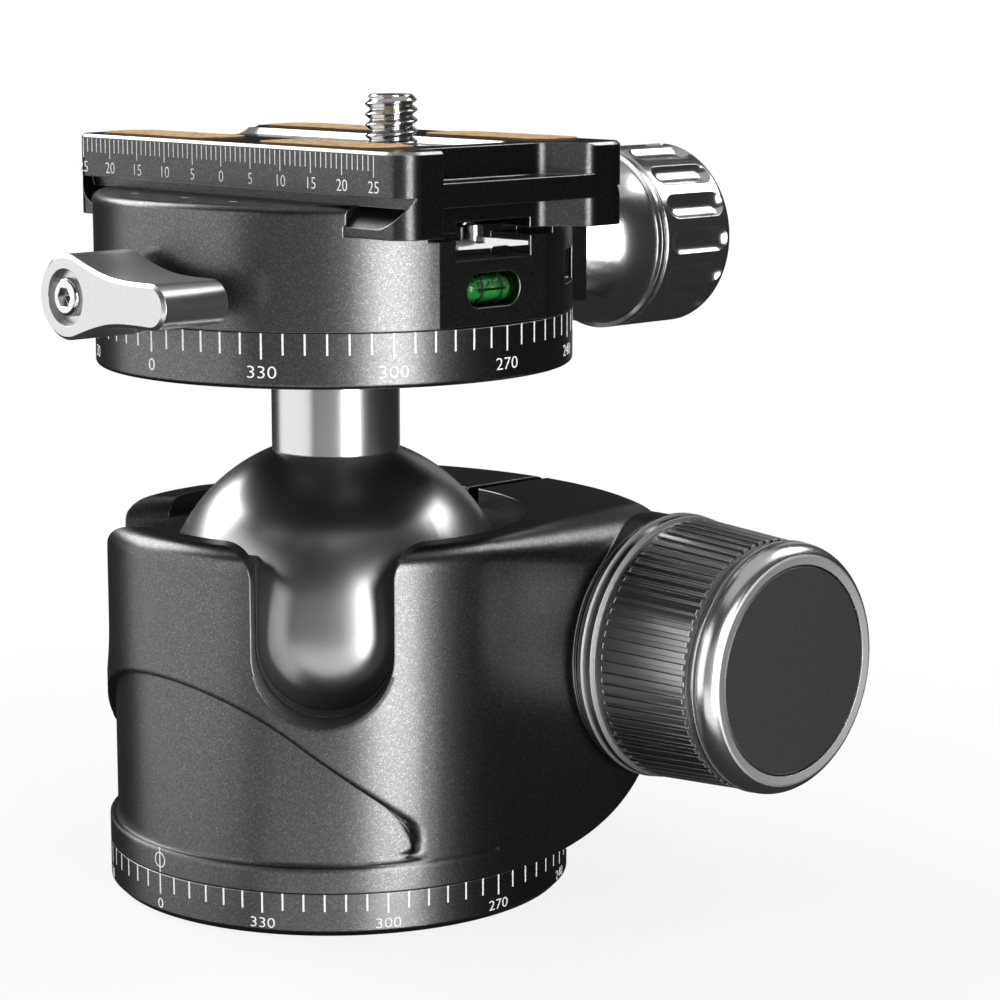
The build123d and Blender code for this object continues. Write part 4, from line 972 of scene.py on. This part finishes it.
form = bmesh.new()
slab(
    form,
    [(leaf_front, y * mm, z * mm) for y, z in edge_outline],
    [(leaf_front - leaf_edge_thick, y * mm, z * mm) for y, z in edge_outline],
)
slab(
    form,
    [(x * mm, y * mm, leaf_sheet_low) for x, y in sheet_outline],
    [(x * mm, y * mm, leaf_sheet_high) for x, y in sheet_outline],
)
leaf_metal = metal(
    "pressed steel", (0.9, 0.9, 0.9), (0.95, 0.95, 0.95), 0.45, metallic=0.25, edge_width=0.05
)
leaf = add_piece("pressed_leaf", close_form(form, "pressed_leaf"), leaf_metal, "catch")
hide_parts("catch_leaf")
print("leaf faces:", len(leaf.data.polygons))

# %% [markdown]
# ## Rings of the level
# Two thin black rings on the vial show where the bubble belongs. Each ring is a small square
# section carried round the vial.

# %% Rings of the level
vial_x, vial_z, vial_radius = 26.1 * mm, 76.3 * mm, 2.0 * mm
ring_centres = (-1.75 * mm, 1.45 * mm)
half_width, ring_height = 0.14 * mm, 0.03 * mm
vial_steps = 48
mark_black = metal(
    "level mark", (0.01, 0.01, 0.01), (0.02, 0.02, 0.02), 0.4, metallic=0.0, edge_width=0.02
)
form = bmesh.new()
for centre in ring_centres:
    section = (
        (centre - half_width, vial_radius),
        (centre + half_width, vial_radius),
        (centre + half_width, vial_radius + ring_height),
        (centre - half_width, vial_radius + ring_height),
    )
    loops = []
    for step in range(vial_steps):
        turn = 2 * pi * step / vial_steps
        loops.append([
            form.verts.new((vial_x + r * cos(turn), y, vial_z + r * sin(turn)))
            for y, r in section
        ])
    for step in range(vial_steps):
        here, there = loops[step], loops[(step + 1) % vial_steps]
        for side in range(4):
            after = (side + 1) % 4
            form.faces.new((here[side], there[side], there[after], here[after]))
rings_piece = add_piece("level_rings", close_form(form, "level_rings"), mark_black, "clamp")
print("ring faces:", len(rings_piece.data.polygons))

# %% [markdown]
# ## Bubble of the level
# The bubble floats at the top of the fluid and is flatter than a ball. Starting from a ball and
# moving each of its points makes it flat, and a little narrower on its outer side.

# %% Bubble of the level
bubble_x, bubble_y, bubble_z = 26.85 * mm, -0.75 * mm, 77.0 * mm
bubble_deep, bubble_long, bubble_high = 0.98, 0.95, 0.78
narrowing = 0.12
form = bmesh.new()
bmesh.ops.create_icosphere(form, subdivisions=3, radius=1.0)
for vertex in form.verts:
    x, y, z = vertex.co
    narrow = 1 - narrowing * x
    vertex.co = Vector((
        bubble_x + x * bubble_deep * mm,
        bubble_y + y * bubble_long * mm * narrow,
        bubble_z + z * bubble_high * mm,
    ))
for face in form.faces:
    face.smooth = True
# The bubble is an opaque dark green: painted shade in place of the look that refraction gives a
# clear air bubble.
bubble_painted_shade = metal(
    "bubble", (0.01, 0.10, 0.02), (0.02, 0.2, 0.04), 0.08, metallic=0.0, edge_width=0.02
)
bubble = add_piece("level_bubble", close_form(form, "level_bubble"), bubble_painted_shade, "clamp")
print("bubble faces:", len(bubble.data.polygons))

# %% [markdown]
# ## Camera
# The camera stands at the front right, a little above the head, and looks slightly down. Its
# place and the way it looks are two vectors, and a long lens keeps the head's uprights nearly
# parallel.

# %% Camera
camera_place = Vector((0.279985, -0.246146, 0.1126))
looking = Vector((-0.70300, 0.69014, -0.17174))
lens, sensor_width = 108.45, 36
nearest_seen = 0.01
camera_data = bpy.data.cameras.new("camera")
camera_data.lens = lens
camera_data.sensor_width = sensor_width
camera_data.clip_start = nearest_seen
camera = bpy.data.objects.new("camera", camera_data)
bpy.context.scene.collection.objects.link(camera)
camera.location = camera_place
camera.rotation_euler = looking.to_track_quat("-Z", "Y").to_euler()
bpy.context.scene.camera = camera
print("camera lens:", camera_data.lens)

# %% [markdown]
# ## Floor
# The head stands on a pale sheet. Metal here should mirror a dark room with lamps in it, so the
# sheet is hidden from reflections, and it doesn't block the lamp that shines from below. It still
# takes the head's shadow.

# %% Floor
floor_size = 3.0
floor_gap = 0.00002
form = bmesh.new()
bmesh.ops.create_grid(form, x_segments=1, y_segments=1, size=floor_size)
floor_mesh = bpy.data.meshes.new("floor")
form.to_mesh(floor_mesh)
form.free()
floor = bpy.data.objects.new("floor", floor_mesh)
floor.location.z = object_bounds()[0][2] - floor_gap
bpy.context.scene.collection.objects.link(floor)
floor.visible_glossy = False
floor.visible_shadow = False
print("floor at z mm:", round(floor.location.z / mm, 2))

# %% [markdown]
# ## Finish of the floor
# Near the head the sheet is paper that shows a soft shadow. Further out it fades to pure white,
# which only the camera sees, so the white adds no light to the head. The fade follows the
# distance from the pan axis.

# %% Floor finish
fade_near, fade_far = 0.06, 0.16
glow_near = 0.85
floor_finish, tree, shader = new_finish("pale floor")
shader.inputs["Roughness"].default_value = 0.7
shader.inputs["Specular IOR Level"].default_value = 0.1
path = new_node(tree, "ShaderNodeLightPath")
glow = new_node(tree, "ShaderNodeEmission", Color=(1, 1, 1, 1))
blend = new_node(tree, "ShaderNodeMixShader")
spot = new_node(tree, "ShaderNodeNewGeometry")
reach = new_node(tree, "ShaderNodeVectorMath", operation="LENGTH")
fade = new_node(
    tree, "ShaderNodeMapRange", From_Min=fade_near, From_Max=fade_far,
    interpolation_type="SMOOTHSTEP",
)
lift = new_node(tree, "ShaderNodeMapRange", To_Min=glow_near, To_Max=1.0)
seen = new_node(tree, "ShaderNodeMath", operation="MULTIPLY")
paper = new_node(tree, "ShaderNodeTexNoise", Scale=40.0)
tint = new_node(tree, "ShaderNodeMapRange", To_Min=0.93, To_Max=0.96)
tree.links.new(paper.outputs[0], tint.inputs["Value"])
tree.links.new(tint.outputs[0], shader.inputs["Base Color"])
tree.links.new(spot.outputs["Position"], reach.inputs[0])
tree.links.new(reach.outputs["Value"], fade.inputs["Value"])
tree.links.new(fade.outputs[0], lift.inputs["Value"])
tree.links.new(lift.outputs[0], seen.inputs[0])
tree.links.new(path.outputs["Is Camera Ray"], seen.inputs[1])
tree.links.new(seen.outputs[0], blend.inputs[0])
tree.links.new(shader.outputs[0], blend.inputs[1])
tree.links.new(glow.outputs[0], blend.inputs[2])
tree.links.new(blend.outputs[0], tree.nodes["Material Output"].inputs[0])
floor_mesh.materials.append(floor_finish)
print("floor glow from", glow_near, "to 1")

# %% [markdown]
# ## World
# The world has two faces. The camera, and rays that pass through glass, see plain white. All
# other rays, reflections among them, see a nearly black room, which gives the metal its dark
# parts.

# %% World
room_strength = 0.03
world = bpy.data.worlds.new("studio")
bpy.context.scene.world = world
world.use_nodes = True
tree = world.node_tree
tree.nodes.clear()
path = new_node(tree, "ShaderNodeLightPath")
room = new_node(tree, "ShaderNodeBackground", Color=(1, 1, 1, 1), Strength=room_strength)
white = new_node(tree, "ShaderNodeBackground", Color=(1, 1, 1, 1), Strength=1.0)
blend = new_node(tree, "ShaderNodeMixShader")
seen = new_node(tree, "ShaderNodeMath", operation="MAXIMUM")
out = new_node(tree, "ShaderNodeOutputWorld")
tree.links.new(path.outputs["Is Camera Ray"], seen.inputs[0])
tree.links.new(path.outputs["Is Transmission Ray"], seen.inputs[1])
tree.links.new(seen.outputs[0], blend.inputs[0])
tree.links.new(room.outputs[0], blend.inputs[1])
tree.links.new(white.outputs[0], blend.inputs[2])
tree.links.new(blend.outputs[0], out.inputs[0])
print("room strength:", room_strength)

# %% [markdown]
# ## Lamps
# Polished metal shows the lamps themselves, so each lamp is a softbox with a place and a size:
# tall ones draw the bright stripes on stem and knob, and wide ones fill the broad faces. Each
# row below gives a name, azimuth and elevation in degrees, the distance, width and height in
# metres, and the radiance. The bounce lamp stands below the floor and lights from underneath.

# %% Lamps
aim = Vector((0, 0, 0.05))


def softbox(name, azimuth, elevation, distance, width, height, radiance):
    """A soft rectangular lamp, aimed at the head. Radiance 1 looks white in a mirror."""
    lamp = bpy.data.lights.new(name, "AREA")
    lamp.shape = "RECTANGLE"
    lamp.size = width
    lamp.size_y = height
    lamp.energy = radiance * pi * width * height
    lamp_object = bpy.data.objects.new(name, lamp)
    bpy.context.scene.collection.objects.link(lamp_object)
    a, e = radians(azimuth), radians(elevation)
    lamp_object.location = aim + distance * Vector((cos(a) * cos(e), sin(a) * cos(e), sin(e)))
    lamp_object.rotation_euler = (aim - lamp_object.location).to_track_quat("-Z", "Y").to_euler()
    lamp_object.visible_camera = False
    return lamp_object


softbox("key", -14, 2, 0.8, 0.34, 0.7, 8.0)
softbox("left", -124, 8, 0.8, 1.3, 0.9, 1.3)
softbox("limb", -172, 36, 0.9, 0.5, 0.5, 6.0)
softbox("front", -55, 5, 0.9, 0.7, 0.5, 0.25)
softbox("bounce", -50, -28, 0.8, 0.9, 0.4, 1.0)
softbox("back", 72, 42, 0.9, 0.36, 0.36, 4.0)
softbox("rim", 120, 12, 0.9, 0.2, 0.8, 0.3)
softbox("top", 90, 86, 1.0, 1.4, 1.4, 0.4)
print("lamps:", len(bpy.data.lights))

# %% [markdown]
# ## View transform
# The picture is shown through the Standard view transform.

# %% Finish
bpy.context.scene.view_settings.view_transform = "Standard"
